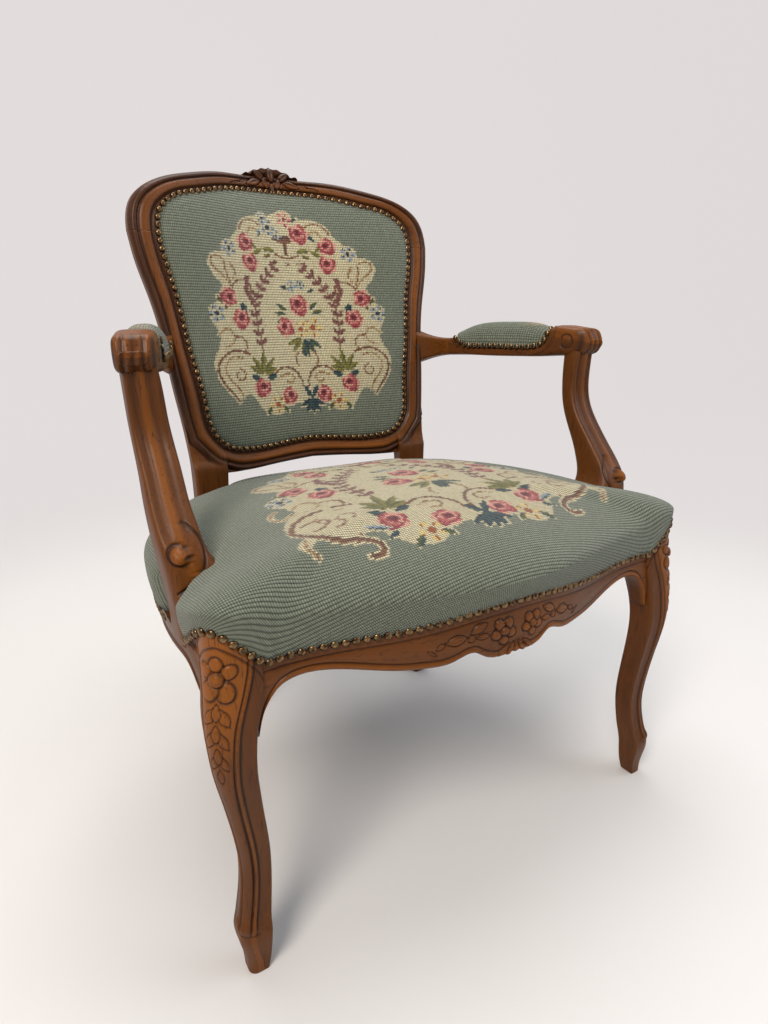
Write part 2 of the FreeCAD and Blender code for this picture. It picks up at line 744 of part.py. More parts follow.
save_pair(leg, "front_leg")
save_pair(stile, "rear_leg_stile")
save(front_rail, "front_seat_rail")
save_pair(side_rail, "side_seat_rail")
save(rear_rail, "rear_seat_rail")
save(crest, "crest_rail")
save(lower_rail, "lower_back_rail")
save_pair(arm, "arm")
save_pair(support, "arm_support")
save_pair(front_block, "front_corner_block")
save_pair(rear_block, "rear_corner_block")
save(Part.makeCompound(screws + [mirrored(one) for one in screws]), "corner_block_screws")

# Seat upholstery
supports = [support_blank, mirrored(support_blank)]
legs = [leg_blank, mirrored(leg_blank)]
rails = [front_rail, rear_rail, side_rail, mirrored(side_rail)]
wood = legs + stile_blanks + supports
corner = box((stile_x - stile_width / 2 + 1, stile_y - stile_depth / 2 + 1, 300), (400, 300, 500))
wood += [corner, mirrored(corner)]
seat_outer = seat_solid(0, skirt_low)
seat_inner = seat_solid(cover, skirt_low - 5)
seat_cover = clear_of(seat_outer.cut(seat_inner), wood + rails + [skirt_trim()])
save(largest(seat_cover), "seat_cover")
hessian = hessian_solid(0)
stuffing = seat_solid(cover + soft_gap, rail_top + 0.5).cut(hessian)
save(largest(clear_of(stuffing, wood + rails)), "seat_stuffing")
save(largest(clear_of(hessian.cut(hessian_solid(1.2)), wood + rails)), "spring_hessian")

blocks = [front_block, rear_block, mirrored(front_block), mirrored(rear_block)]
straps = []
for i in range(5):
    x = -172 + 86.0 * i
    straps.append(box((x - webbing_width / 2, -340, webbing_z),
                      (x + webbing_width / 2, 180, webbing_z + webbing_thickness)))
for i in range(5):
    y = -214 + 78.0 * i
    layer = webbing_z + webbing_thickness + 0.2
    straps.append(box((-330, y - webbing_width / 2, layer),
                      (330, y + webbing_width / 2, layer + webbing_thickness)))
inside = flat_face(ring(-rail_thickness + 2, webbing_z - 10, 1.0)).extrude(Vector(0, 0, 30))
straps = [largest(clear_of(strap.common(inside), rails + wood + blocks)) for strap in straps]
save(Part.makeCompound(straps), "seat_webbing")

spring_base = webbing_z + 2 * webbing_thickness + 0.5
spring_places = [(-129, -175), (129, -175), (0, -97), (-107, -19), (107, -19)]
spring_tops = [0.80, 0.80, 0.955, 0.86, 0.86]
springs = []
for (x, y), share in zip(spring_places, spring_tops):
    springs.append(make_spring(x, y, spring_base, rail_top + hessian_rise * share - 2))
save(Part.makeCompound(springs), "seat_springs")

sheet = flat_face(ring(-rail_thickness + 2, dust_cover_z, 1.0)).extrude(Vector(0, 0, 0.8))
save(largest(clear_of(sheet, rails + wood)), "dust_cover")

# Back upholstery
low_depth, high_depth = depth_range()


def pad_rise(x, z):
    across = max(0.0, 1 - (abs(x) / pad_half_width) ** 3)
    upward = max(0.0, 1 - (abs(z - back_middle) / pad_half_height) ** 3)
    return back_pad_crown * (across * upward) ** 0.5


def behind(distance):
    return lambda x, z: back_front(x, z) + distance


def before(distance):
    return lambda x, z: back_front(x, z) - pad_rise(x, z) + distance


def padded_layer(distance, inset):
    """Solid from the crowned front of the back pad, set back by distance, to the frame's rebate."""
    xs = [hollow_reach * i / 8 for i in range(-8, 9)]
    zs = [440, 475, 520, 580, 650, 720, 770, 805, 830, 850]
    layer = curved_slab(before(distance), behind(back_rebate + 3), xs, zs)
    layer = layer.common(upholstery_outline(inset, low_depth, high_depth))
    return layer.cut(frame_slab(pad_back, back_thickness))


def flat_layer(near, far, inset):
    """Thin layer that follows the facets of the frame behind its front face."""
    thick = frame_slab(near, far + 40).common(upholstery_outline(inset, low_depth, high_depth))
    return thick.cut(frame_slab(far, far + 60))


strap_front = back_rebate - webbing_thickness
cross_front = strap_front - webbing_thickness + 0.1
back_shell = padded_layer(0, 0.6).cut(padded_layer(cover, 0.6 + cover))
save(largest(back_shell), "back_cover")
save(largest(padded_layer(cover + soft_gap, 0.9 + cover)), "back_stuffing")
save(largest(flat_layer(pad_back + 0.2, pad_back + 1.2, 1.0)), "back_hessian")
upright_straps = flat_layer(strap_front, back_rebate - soft_gap, 2.0)
cross_straps = flat_layer(cross_front, strap_front - 0.2, 2.0)
back_straps = []
for i in range(3):
    x = back_strap_step * (i - 1)
    strip = box((x - webbing_width / 2, low_depth, 400), (x + webbing_width / 2, high_depth, 900))
    back_straps.append(largest(upright_straps.common(strip)))
    z = back_middle + back_strap_step * (i - 1)
    strip = box((-300, low_depth, z - webbing_width / 2), (300, high_depth, z + webbing_width / 2))
    back_straps.append(largest(cross_straps.common(strip)))
save(Part.makeCompound(back_straps), "back_webbing")
outside_near = back_thickness + soft_gap
outside = flat_layer(outside_near, outside_near + outside_cover, -12.0)
save(largest(outside), "outside_back_cover")

# Arm pads
pad_space = side_view(cradle_outline(soft_gap), arm_near, arm_far)
pad_outer = pad_solid(0).common(pad_space)
save_pair(largest(pad_outer.cut(pad_solid(cover))), "arm_pad_cover")
save_pair(largest(pad_solid(cover + soft_gap).common(side_view(cradle_outline(cover), arm_near, arm_far))),
          "arm_pad_stuffing")
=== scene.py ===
import bpy
import math
import numpy as np
from mathutils import Matrix, Vector


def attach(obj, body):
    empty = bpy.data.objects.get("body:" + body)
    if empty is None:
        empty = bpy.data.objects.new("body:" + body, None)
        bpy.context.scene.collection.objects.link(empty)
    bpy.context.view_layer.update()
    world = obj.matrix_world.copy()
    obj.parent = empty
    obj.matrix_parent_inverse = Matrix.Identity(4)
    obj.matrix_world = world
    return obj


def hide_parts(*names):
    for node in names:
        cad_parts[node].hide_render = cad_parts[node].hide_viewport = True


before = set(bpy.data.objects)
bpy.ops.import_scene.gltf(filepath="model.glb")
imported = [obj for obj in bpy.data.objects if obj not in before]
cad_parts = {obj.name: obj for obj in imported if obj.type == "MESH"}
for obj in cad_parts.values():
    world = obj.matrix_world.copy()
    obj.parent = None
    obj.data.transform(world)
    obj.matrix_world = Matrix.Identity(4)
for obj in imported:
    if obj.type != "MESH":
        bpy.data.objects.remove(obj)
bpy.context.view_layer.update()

# All shapes are worked out in millimetres, with +X to the chair's right as seen from the front,
# +Y to its back and +Z up. buildMesh turns them into metres.


# Natural cubic spline through values at rising stops, read at the places in where
def splineAt(stops, values, where):
    stops, values = np.asarray(stops, float), np.asarray(values, float)
    rows = values.reshape(len(stops), -1)
    gap = np.diff(stops)
    system = np.eye(len(stops))
    right = np.zeros_like(rows)
    i = np.arange(1, len(stops) - 1)
    system[i, i - 1] = gap[:-1]
    system[i, i] = 2 * (gap[:-1] + gap[1:])
    system[i, i + 1] = gap[1:]
    slope = np.diff(rows, axis=0) / gap[:, None]
    right[1:-1] = 6 * np.diff(slope, axis=0)
    bend = np.linalg.solve(system, right)
    where = np.clip(np.asarray(where, float), stops[0], stops[-1])
    k = np.clip(np.searchsorted(stops, where, side="right") - 1, 0, len(gap) - 1)
    a = (stops[k + 1] - where)[..., None]
    b = (where - stops[k])[..., None]
    h = gap[k][..., None]
    result = ((bend[k] * a ** 3 + bend[k + 1] * b ** 3) / (6 * h)
              + (rows[k] / h - bend[k] * h / 6) * a + (rows[k + 1] / h - bend[k + 1] * h / 6) * b)
    return result.reshape(where.shape + values.shape[1:])


# Points evenly spaced along a smooth line through the given ones
def smoothLine(points, count):
    points = np.asarray(points, float)
    stops = np.r_[0, np.cumsum(np.linalg.norm(np.diff(points, axis=0), axis=1))]
    fine = splineAt(stops, points, np.linspace(0, stops[-1], 40 * len(points)))
    return evenLine(fine, count)


def evenLine(points, count):
    length = np.r_[0, np.cumsum(np.linalg.norm(np.diff(points, axis=0), axis=1))]
    where = np.linspace(0, length[-1], count)
    return np.stack([np.interp(where, length, points[:, k]) for k in range(points.shape[1])], axis=1)


def smoothStep(low, high, x):
    t = np.clip((x - low) / (high - low), 0, 1)
    return t * t * (3 - 2 * t)


def bell(x, middle, width):
    return np.exp(-((x - middle) / width) ** 2)


# Half a sine wave that starts at x = start and is width long
def hump(x, start, width):
    return np.sin(np.pi * np.clip((x - start) / width, 0, 1))


# Shortest distance from each point (x, y) to a broken line
def lineDistance(x, y, line):
    shape = np.shape(x)
    p = np.stack([np.ravel(x), np.ravel(y)], axis=1)
    best = np.full(len(p), 1e9)
    for a, b in zip(line[:-1], line[1:]):
        run = b - a
        t = np.clip(((p - a) @ run) / max(run @ run, 1e-9), 0, 1)
        d = p - a - t[:, None] * run
        best = np.minimum(best, d[:, 0] ** 2 + d[:, 1] ** 2)
    return np.sqrt(best).reshape(shape)


noTris = np.zeros((0, 3), int)


# A closed shape whose volume comes out negative has its faces turned round
def facingOut(points, quads, tris):
    corners = np.concatenate([quads[:, [0, 1, 2]], quads[:, [0, 2, 3]], tris])
    p, q, r = (points[corners[:, k]] for k in range(3))
    turned = np.einsum("ij,ij->i", p, np.cross(q, r)).sum() < 0
    return (quads[:, ::-1], tris[:, ::-1]) if turned else (quads, tris)


def buildMesh(name, points, quads, tris=noTris, tones=None, yarn=None, uv=None):
    points = np.asarray(points, float).reshape(-1, 3)
    quads, tris = facingOut(points, quads, tris)
    loops = np.concatenate([quads.ravel(), tris.ravel()]).astype(np.int32)
    sizes = np.concatenate([np.full(len(quads), 4), np.full(len(tris), 3)])
    mesh = bpy.data.meshes.new(name)
    mesh.vertices.add(len(points))
    mesh.vertices.foreach_set("co", (points * 0.001).astype(np.float32).ravel())
    mesh.loops.add(len(loops))
    mesh.loops.foreach_set("vertex_index", loops)
    mesh.polygons.add(len(sizes))
    mesh.polygons.foreach_set("loop_start", np.r_[0, np.cumsum(sizes)[:-1]].astype(np.int32))
    mesh.polygons.foreach_set("use_smooth", np.ones(len(sizes), bool))
    mesh.update(calc_edges=True)
    for label, values in (tones or {}).items():
        layer = mesh.attributes.new(label, "FLOAT", "POINT")
        layer.data.foreach_set("value", np.asarray(values, np.float32).ravel())
    if yarn is not None:
        layer = mesh.color_attributes.new("yarn", "FLOAT_COLOR", "POINT")
        layer.data.foreach_set("color", np.column_stack([yarn, np.ones(len(yarn))]).astype(np.float32).ravel())
    if uv is not None:
        layer = mesh.uv_layers.new(name="canvas")
        layer.data.foreach_set("uv", (np.asarray(uv) * 0.001)[loops].astype(np.float32).ravel())
    return mesh


# Several parts, each of points, quads and tris, as one
def joinParts(parts):
    starts = np.cumsum([0] + [len(points) for points, _, _ in parts])
    faces = (np.concatenate([part[k] + start for part, start in zip(parts, starts)]) for k in (1, 2))
    return (np.concatenate([part[0] for part in parts]), *faces)


def gridQuads(rows, cols):
    i, j = np.meshgrid(np.arange(rows - 1), np.arange(cols - 1), indexing="ij")
    k = i * cols + j
    return np.stack([k, k + cols, k + cols + 1, k + 1], axis=-1).reshape(-1, 4)


def addPiece(name, mesh, material, nodes=()):
    piece = bpy.data.objects.new(name, mesh)
    bpy.context.scene.collection.objects.link(piece)
    mesh.materials.append(material)
    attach(piece, "root")
    if nodes:
        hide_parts(*nodes)
    return piece


# Values on a tube's rings, and the mean of each end ring for the middle point that closes it
def withEnds(values):
    ends = [values[k].mean(axis=0).reshape(1, -1) for k in (0, -1)]
    return np.concatenate([values.reshape(values.shape[0] * values.shape[1], -1), *ends])


# A closed tube of rings of points, with a fan to a middle point at each end
def tubeParts(rings):
    rows, around = rings.shape[:2]
    i, j = np.meshgrid(np.arange(rows - 1), np.arange(around), indexing="ij")
    k = (j + 1) % around
    quads = np.stack([i * around + j, i * around + k, (i + 1) * around + k, (i + 1) * around + j], axis=-1)
    j, k, middle = j[0], k[0], np.full(around, rows * around)
    last = (rows - 1) * around
    return withEnds(rings), quads.reshape(-1, 4), np.concatenate([
        np.stack([middle, k, j], axis=-1), np.stack([middle + 1, last + j, last + k], axis=-1)])


def tubeMesh(name, rings, tones=None, yarn=None, uv=None):
    tones = {label: withEnds(values) for label, values in (tones or {}).items()}
    yarn, uv = (None if values is None else withEnds(values) for values in (yarn, uv))
    return buildMesh(name, *tubeParts(rings), tones, yarn, uv)


# A wooden piece from its rings and tones, or a right-hand one and its mirror image
def addWood(name, shape, material, node, sides=("",)):
    rings, tones = shape
    for side in sides:
        mesh = tubeMesh(name + side, rings * (-1.0 if side == "Left" else 1.0, 1.0, 1.0), tones)
        addPiece(name + side, mesh, material, [node + ("_" + side.lower() if side else "")])


bothHands = ("Right", "Left")


def linear(code):
    srgb = np.array([int(code[i:i + 2], 16) for i in (1, 3, 5)]) / 255
    return np.where(srgb <= 0.04045, srgb / 12.92, ((srgb + 0.055) / 1.055) ** 2.4)


def rgba(code):
    return (*linear(code), 1.0)


def setSockets(tree, node, values=None, links=None):
    for socket, value in (values or {}).items():
        node.inputs[socket].default_value = value
    for socket, source in (links or {}).items():
        tree.links.new(getattr(source, "outputs", [source])[0], node.inputs[socket])   # a node gives its first output
    return node


def addNode(tree, kind, values=None, links=None, **settings):
    node = tree.nodes.new("ShaderNode" + kind)
    for label, value in settings.items():
        setattr(node, label, value)
    return setSockets(tree, node, values, links)


def newMaterial(name):
    material = bpy.data.materials.new(name)
    material.use_nodes = True
    tree = material.node_tree
    return material, tree, tree.nodes["Principled BSDF"]


def colourStops(ramp, *stops):
    for element, (place, code) in zip(ramp.color_ramp.elements, stops):
        element.position, element.color = place, rgba(code)


# Scale of a pattern that is drawn out along one axis
def stretched(axis, longer):
    return [1 / longer if k == axis else 1.0 for k in range(3)]


# Beech, stained walnut brown and French polished. The eye sees long soft streaks along the grain, short dark pores
# and amber where hands have rubbed it; the hollows of the carving are made nearly black with painted shade.
def stainedBeech(name, grainAxis):
    look = {"dark": "#331806", "mid": "#532c08", "light": "#854a0d", "pore": "#241105", "hollow": "#1d0e07",
            "streakMm": 14.0, "poreMm": 2.2, "longer": 14.0}
    material, tree, shader = newMaterial(name)
    place = addNode(tree, "TexCoord").outputs["Object"]
    along = addNode(tree, "Mapping", {"Scale": stretched(grainAxis, look["longer"])}, {"Vector": place})
    streak = addNode(tree, "TexNoise", {"Scale": 1000 / look["streakMm"], "Detail": 5.0, "Roughness": 0.62,
                     "Distortion": 0.6}, {"Vector": along})
    cloud = addNode(tree, "TexNoise", {"Scale": 9.0, "Detail": 2.0}, {"Vector": place})
    pores = addNode(tree, "TexNoise", {"Scale": 1000 / look["poreMm"], "Detail": 2.0}, {"Vector": along})
    ramp = addNode(tree, "ValToRGB", links={"Fac": streak})
    colourStops(ramp, (0.28, look["dark"]), (0.74, look["mid"]))
    rubbed = addNode(tree, "Attribute", attribute_name="rub").outputs["Fac"]
    patch = addNode(tree, "MapRange", {"From Min": 0.35, "From Max": 0.65, "To Min": 0.55}, {"Value": cloud})
    amber = addNode(tree, "Math", links={0: rubbed, 1: patch}, operation="MULTIPLY")
    dots = addNode(tree, "MapRange", {"From Min": 0.30, "From Max": 0.42, "To Min": 0.55, "To Max": 0.0},
                   {"Value": pores})
    # painted shade: the hollow attribute darkens the carving's grooves and hollows towards the hollow colour
    cut = addNode(tree, "Attribute", attribute_name="hollow").outputs["Fac"]
    colour = ramp.outputs["Color"]
    for code, share in (("light", amber), ("pore", dots), ("hollow", cut)):
        colour = addNode(tree, "Mix", {"B": rgba(look[code])}, {"Factor": share, "A": colour},
                         data_type="RGBA").outputs["Result"]
    sheen = addNode(tree, "MapRange", {"From Min": 0.3, "From Max": 0.7, "To Min": 0.36, "To Max": 0.52},
                    {"Value": cloud})
    bump = addNode(tree, "Bump", {"Strength": 0.25, "Distance": 0.0004}, {"Height": streak})
    setSockets(tree, shader, {"Specular IOR Level": 0.22, "Coat Weight": 0.05, "Coat Roughness": 0.25},
               {"Base Color": colour, "Roughness": sheen, "Normal": bump})
    return material


# Wool needlepoint: colour from the piece's own yarn attribute, one rounded bump to each stitch with painted shade
# in the gap between and a painted highlight on its crown, and a little difference from stitch to stitch as in
# hand-dyed wool.
# Real stitches are 2.7 mm. The back's rows are drawn 3.8 mm apart, because 2.7 mm doesn't show.
def woolNeedlepoint(name, stitchMm, rowMm, gapShade):
    material, tree, shader = newMaterial(name)
    uv = addNode(tree, "UVMap", uv_map="canvas")
    cells = addNode(tree, "Mapping", {"Scale": (1000 / stitchMm, 1000 / rowMm, 1.0)}, {"Vector": uv})
    split = addNode(tree, "SeparateXYZ", links={0: cells})
    humps = []
    for axis, power in ((0, 0.7), (1, 0.9)):
        turn = addNode(tree, "Math", {1: math.pi}, {0: split.outputs[axis]}, operation="MULTIPLY")
        wave = addNode(tree, "Math", links={0: turn}, operation="SINE")
        whole = addNode(tree, "Math", links={0: wave}, operation="ABSOLUTE")
        humps.append(addNode(tree, "Math", {1: power}, {0: whole}, operation="POWER"))
    bead = addNode(tree, "Math", links={0: humps[0], 1: humps[1]}, operation="MULTIPLY")
    cell = addNode(tree, "VectorMath", links={0: cells}, operation="FLOOR")
    dye = addNode(tree, "TexWhiteNoise", links={"Vector": cell}, noise_dimensions="2D")
    # painted shade and highlight: the colour falls to the gap level between stitches and rises to 1.14 on each crown
    lit = addNode(tree, "MapRange", {"From Min": 0.05, "From Max": 0.75, "To Min": gapShade, "To Max": 1.14},
                  {"Value": bead})
    lot = addNode(tree, "MapRange", {"To Min": 0.9, "To Max": 1.1}, {"Value": dye})
    level = addNode(tree, "Math", links={0: lit, 1: lot}, operation="MULTIPLY")
    yarn = addNode(tree, "Attribute", attribute_name="yarn")
    colour = addNode(tree, "VectorMath", links={0: yarn, 1: level}, operation="MULTIPLY")
    bump = addNode(tree, "Bump", {"Strength": 0.8, "Distance": 0.0011}, {"Height": bead})
    setSockets(tree, shader, {"Roughness": 0.92, "Sheen Weight": 0.25, "Sheen Roughness": 0.5,
               "Specular IOR Level": 0.15}, {"Base Color": colour, "Normal": bump})
    return material


# Plain woven cloth: two crossed thread waves and noise give a fine pattern of bumps, and the colour is lighter where
# the bumps are high and darker where they are low
def wovenCloth(name, code, threadMm, depth):
    material, tree, shader = newMaterial(name)
    place = addNode(tree, "TexCoord").outputs["Object"]
    parts = addNode(tree, "SeparateXYZ", links={0: place})
    bands = []
    for axis in range(3):
        turn = addNode(tree, "Math", {1: 2000 * math.pi / threadMm}, {0: parts.outputs[axis]}, operation="MULTIPLY")
        bands.append(addNode(tree, "Math", links={0: turn}, operation="SINE"))
    pair = addNode(tree, "Math", links={0: bands[0], 1: bands[1]}, operation="ADD")
    weave = addNode(tree, "Math", links={0: pair, 1: bands[2]}, operation="ADD")
    slub = addNode(tree, "TexNoise", {"Scale": 180.0, "Detail": 3.0}, {"Vector": place})
    both = addNode(tree, "Math", {1: 0.25}, {0: weave, 2: slub}, operation="MULTIPLY_ADD")
    tone = addNode(tree, "MapRange", {"From Min": -0.2, "From Max": 1.2, "To Min": 1 - depth, "To Max": 1 + depth},
                   {"Value": both})
    colour = addNode(tree, "VectorMath", {0: tuple(linear(code))}, {1: tone}, operation="MULTIPLY")
    bump = addNode(tree, "Bump", {"Strength": 0.4, "Distance": 0.0005}, {"Height": both})
    setSockets(tree, shader, {"Roughness": 0.9, "Specular IOR Level": 0.2}, {"Base Color": colour, "Normal": bump})
    return material


# Curled hair and cotton felt: soft matted fibres in two browns
def hairStuffing(name):
    material, tree, shader = newMaterial(name)
    place = addNode(tree, "TexCoord").outputs["Object"]
    fibre = addNode(tree, "TexNoise", {"Scale": 350.0, "Detail": 6.0, "Distortion": 1.5}, {"Vector": place})
    ramp = addNode(tree, "ValToRGB", links={"Fac": fibre})
    colourStops(ramp, (0.3, "#4b3b2b"), (0.7, "#b9a588"))
    bump = addNode(tree, "Bump", {"Strength": 0.6, "Distance": 0.001}, {"Height": fibre})
    setSockets(tree, shader, {"Roughness": 0.95}, {"Base Color": ramp, "Normal": bump})
    return material


# Metal with a slightly uneven skin: noise moves both its colour and its gloss
def tarnishedMetal(name, bright, dull, rough, speck):
    material, tree, shader = newMaterial(name)
    place = addNode(tree, "TexCoord").outputs["Object"]
    stain = addNode(tree, "TexNoise", {"Scale": speck, "Detail": 3.0}, {"Vector": place})
    ramp = addNode(tree, "ValToRGB", links={"Fac": stain})
    colourStops(ramp, (0.35, dull), (0.65, bright))
    gloss = addNode(tree, "MapRange", {"To Min": rough + 0.12, "To Max": rough - 0.08}, {"Value": stain})
    setSockets(tree, shader, {"Metallic": 1.0}, {"Base Color": ramp, "Roughness": gloss})
    return material


# Planed beech left bare inside the frame: pale, matt, with fine flecks along the grain
def bareBeech(name, grainAxis):
    material, tree, shader = newMaterial(name)
    place = addNode(tree, "TexCoord").outputs["Object"]
    along = addNode(tree, "Mapping", {"Scale": stretched(grainAxis, 12.5)}, {"Vector": place})
    fleck = addNode(tree, "TexNoise", {"Scale": 260.0, "Detail": 4.0}, {"Vector": along})
    ramp = addNode(tree, "ValToRGB", links={"Fac": fleck})
    colourStops(ramp, (0.3, "#a57f55"), (0.6, "#d0ac7c"))
    setSockets(tree, shader, {"Roughness": 0.72}, {"Base Color": ramp})
    return material


beechUp = stainedBeech("stainedBeechUpright", 2)
beechAcross = stainedBeech("stainedBeechAcross", 0)
beechAlong = stainedBeech("stainedBeechAlong", 1)
seatWool = woolNeedlepoint("seatWoolNeedlepoint", 2.7, 2.7, 0.24)
backWool = woolNeedlepoint("backWoolNeedlepoint", 2.7, 3.8, 0.38)
stuffingHair = hairStuffing("curledHairStuffing")
juteHessian = wovenCloth("juteHessian", "#a58a5c", 2.0, 0.45)
juteWebbing = wovenCloth("juteWebbing", "#9a7f58", 3.0, 0.4)
blackCotton = wovenCloth("blackCotton", "#17171a", 1.6, 0.4)
greenCotton = wovenCloth("greenCottonSateen", "#66735f", 1.6, 0.14)
nailBrass = tarnishedMetal("antiqueBrassNails", "#8f7350", "#3a2a1c", 0.3, 260.0)
copperedWire = tarnishedMetal("copperedSpringWire", "#9a6a48", "#6a4630", 0.4, 120.0)
zincSteel = tarnishedMetal("zincScrewSteel", "#b4b6b8", "#8d8f92", 0.35, 200.0)
print("materials made")


# Adds raised shapes to a relief. Each is an ellipse (x, y, half length, half width, turn, height, point):
# a flattened dome inside, with a cut line round its edge that painted shade makes dark. With a point above 0
# its ends are drawn in like a leaf's, and a vein is cut along it.
def carve(relief, hollow, x, y, shapes):
    for cx, cy, long, wide, turn, height, point in shapes:
        c, s = math.cos(math.radians(turn)), math.sin(math.radians(turn))
        u = ((x - cx) * c + (y - cy) * s) / long
        v = (-(x - cx) * s + (y - cy) * c) / wide
        d = np.sqrt(u * u + (v / np.maximum(1 - point * u * u, 0.12)) ** 2)
        inside = d < 1
        dome = height * np.sqrt(np.clip(1 - d ** 3, 0, 1))
        if point:
            dome -= 0.3 * height * np.exp(-(v / 0.22) ** 2) * np.clip(1 - d, 0, 1)
        relief[inside] = dome[inside]
        rim = bell(d, 1.03, 0.16)
        relief -= 1.3 * rim * (d > 0.88)
        # painted shade: none on the dome, dark along its rim
        hollow[inside] *= 0.3
        np.maximum(hollow, 0.85 * rim * (d > 0.9), out=hollow)
    return relief, hollow


# Petals that point away from a round boss, the lowest ones laid first
def flowerShapes(cx, cy, reach, long, wide, angles, height, boss):
    petals = [(cx + reach * math.cos(math.radians(a)), cy + reach * math.sin(math.radians(a)), long, wide, a,
               height, 0.0) for a in angles]
    return petals + [(cx, cy, boss, boss, 0, height + 2.0, 0.0)]


# Cuts a narrow line: the relief sinks by depth within width of the line at distance d, and painted shade of strength
# tone darkens it
def incise(relief, hollow, d, width, depth, tone=0.7):
    cut = np.exp(-(d / width) ** 2)
    relief -= depth * cut
    np.maximum(hollow, tone * cut, out=hollow)


def mirroredShapes(shapes):
    return shapes + [(-x, y, a, b, -turn, h, p) for x, y, a, b, turn, h, p in shapes if abs(x) > 1e-6]


backShape = {"thickness": 24.5, "nailLine": [
    (0, 458), (45, 455), (92, 452), (113, 453), (138, 457), (153, 466), (164, 480), (173, 530), (185, 605),
    (194, 680), (206, 748), (206, 770), (200, 791), (185, 806), (165, 816), (140, 822), (105, 831), (60, 838),
    (0, 840)], "middle": 648.0}


# The back's front face: a lean in Z plus a cosine hollow in X that deepens upwards
def backFront(x, z):
    reach = np.minimum(np.abs(x) / 235.0, 1.0)
    hollow = 26.0 + 0.112 * (z - 425.0)
    return 141.0 + 0.195 * (z - 420.0) + hollow * (0.5 + 0.5 * np.cos(np.pi * reach))


# The other half of a line that starts and ends on the middle, back to front
def otherSide(half):
    return (half * np.array([-1.0, 1.0]))[::-1]


def fullLoop(half):
    return np.concatenate([half, otherSide(half[1:-1]), half[:1]])


nailLoop = fullLoop(smoothLine(backShape["nailLine"], 160))
outerLoop = fullLoop(np.concatenate([
    smoothLine([(0, 426), (40, 424), (75, 422), (110, 420), (138, 423), (150, 428), (166, 434), (184, 451),
                (205, 474)], 60),
    smoothLine([(208, 500), (214, 550), (222, 635), (231, 680), (241, 722), (246, 760)], 40),
    smoothLine([(246, 760), (244, 782), (236, 803), (204, 829), (147, 848), (91, 860), (45, 863), (0, 866)], 70)]))
crestShapes = mirroredShapes([
    (52, 851.5, 10, 1.8, -12, 1.5, 0.5), (66, 848, 9, 1.6, -14, 1.3, 0.5),
    (31, 853, 15, 6.0, -18, 4.5, 0.7), (20, 864, 13, 6.0, 38, 5.0, 0.6), (11, 853, 10, 4.5, 70, 4.0, 0.5),
    (0, 866, 12, 6.5, 90, 5.5, 0.3), (0, 846, 9, 4.0, 90, 4.5, 0.4)])


# Height of the moulding over the flat face, by the share of the way from the nails to the outer edge:
# a flat for the nails, a quirk, a broad round, a second quirk, a small bead and the rounded edge
def mouldingHeight(share):
    stops = [0, .09, .15, .19, .27, .38, .50, .60, .655, .69, .74, .80, .86, .90, .95, 1.0]
    rises = [0, .2, .1, -1.6, .8, 2.6, 3.0, 2.0, .2, -1.2, .6, 1.5, 1.1, -.4, -2.2, -6.5]
    return splineAt(stops, rises, share)


# Distance from the back's middle to a loop round it, in the direction of each point
def reachOf(loop, x, z):
    middle = backShape["middle"]
    angle, radius = np.arctan2(loop[:-1, 1] - middle, loop[:-1, 0]), np.hypot(loop[:-1, 0], loop[:-1, 1] - middle)
    order = np.argsort(angle)
    return np.interp(np.arctan2(z - middle, x), angle[order], radius[order], period=2 * np.pi)


# Relief, shade and rub of the back's face: the moulding between the two loops, a sunk bed for the
# cover inside them, and a plain sunk post outside them
def backRelief(x, z):
    inner = lineDistance(x, z, nailLoop[::2])
    outer = lineDistance(x, z, outerLoop[::2])
    fromMiddle = np.hypot(x, z - backShape["middle"])
    covered = fromMiddle < reachOf(nailLoop, x, z)
    post = (fromMiddle > reachOf(outerLoop, x, z)) & (z < 480)
    share = np.clip(inner / (inner + outer + 1e-6), 0, 1)
    relief = mouldingHeight(share)
    hollow = 0.75 * (bell(share, .19, .035) + bell(share, .69, .03)
                     + 0.8 * bell(share, .905, .03))
    rub = 0.75 * bell(share, .45, .16)
    relief = np.where(covered, -5.5 * smoothStep(0, 3, inner), relief)
    hollow = np.where(covered, 0, hollow)
    relief = np.where(post, -6.5 + 1.5 * smoothStep(0, 3, outer), relief)
    hollow = np.where(post, 0.8 * np.exp(-(outer / 2.0) ** 2), hollow)
    rub = np.where(post, 0.5, np.where(covered, 0, rub))
    return relief, hollow, rub


# Drop of a rounded edge: a quarter circle of the given radius, by the distance from the edge
def edgeDrop(distance, radius):
    t = np.clip(1 - distance / radius, 0, 1)
    return radius * (1 - np.sqrt(1 - t * t))


# The loop round a plank-like section: across the front, down one side, back and up the other.
# It gives the share across and the share of the depth at each point.
def plankLoop(front, side, back):
    s = np.concatenate([np.linspace(0, 1, front), np.ones(side), np.linspace(1, 0, back), np.zeros(side)])
    q = np.concatenate([np.zeros(front), np.linspace(0, 1, side + 2)[1:-1], np.ones(back),
                        np.linspace(1, 0, side + 2)[1:-1]])
    return s, q


# Planks between an inner and an outer line of the back, hollowed as the back is
def backPlank(inner, outer, shapes):
    s, q = plankLoop(76, 5, 14)
    x = inner[:, :1] + (outer[:, :1] - inner[:, :1]) * s
    z = inner[:, 1:] + (outer[:, 1:] - inner[:, 1:]) * s
    relief, hollow, rub = backRelief(x, z)
    if shapes:
        relief, hollow = carve(relief, hollow, x, z, shapes)
    face = (q == 0)
    width = np.hypot(outer[:, 0] - inner[:, 0], outer[:, 1] - inner[:, 1])[:, None]
    fromEdge = np.minimum(s, 1 - s) * width
    thick = backShape["thickness"]
    depth = np.where(face, -relief, thick * q)
    depth = np.where(q == 1, thick - edgeDrop(fromEdge, 4.0), depth)
    frontSide = np.where(s == 1, relief[:, 75:76], relief[:, :1])
    depth = np.where((q > 0) & (q < 1), -frontSide + (thick - 4 + frontSide) * q, depth)
    y = backFront(x, z) + depth
    return np.stack([x, y, z], axis=-1), {"hollow": hollow * face, "rub": np.where(face, rub, 0.25)}


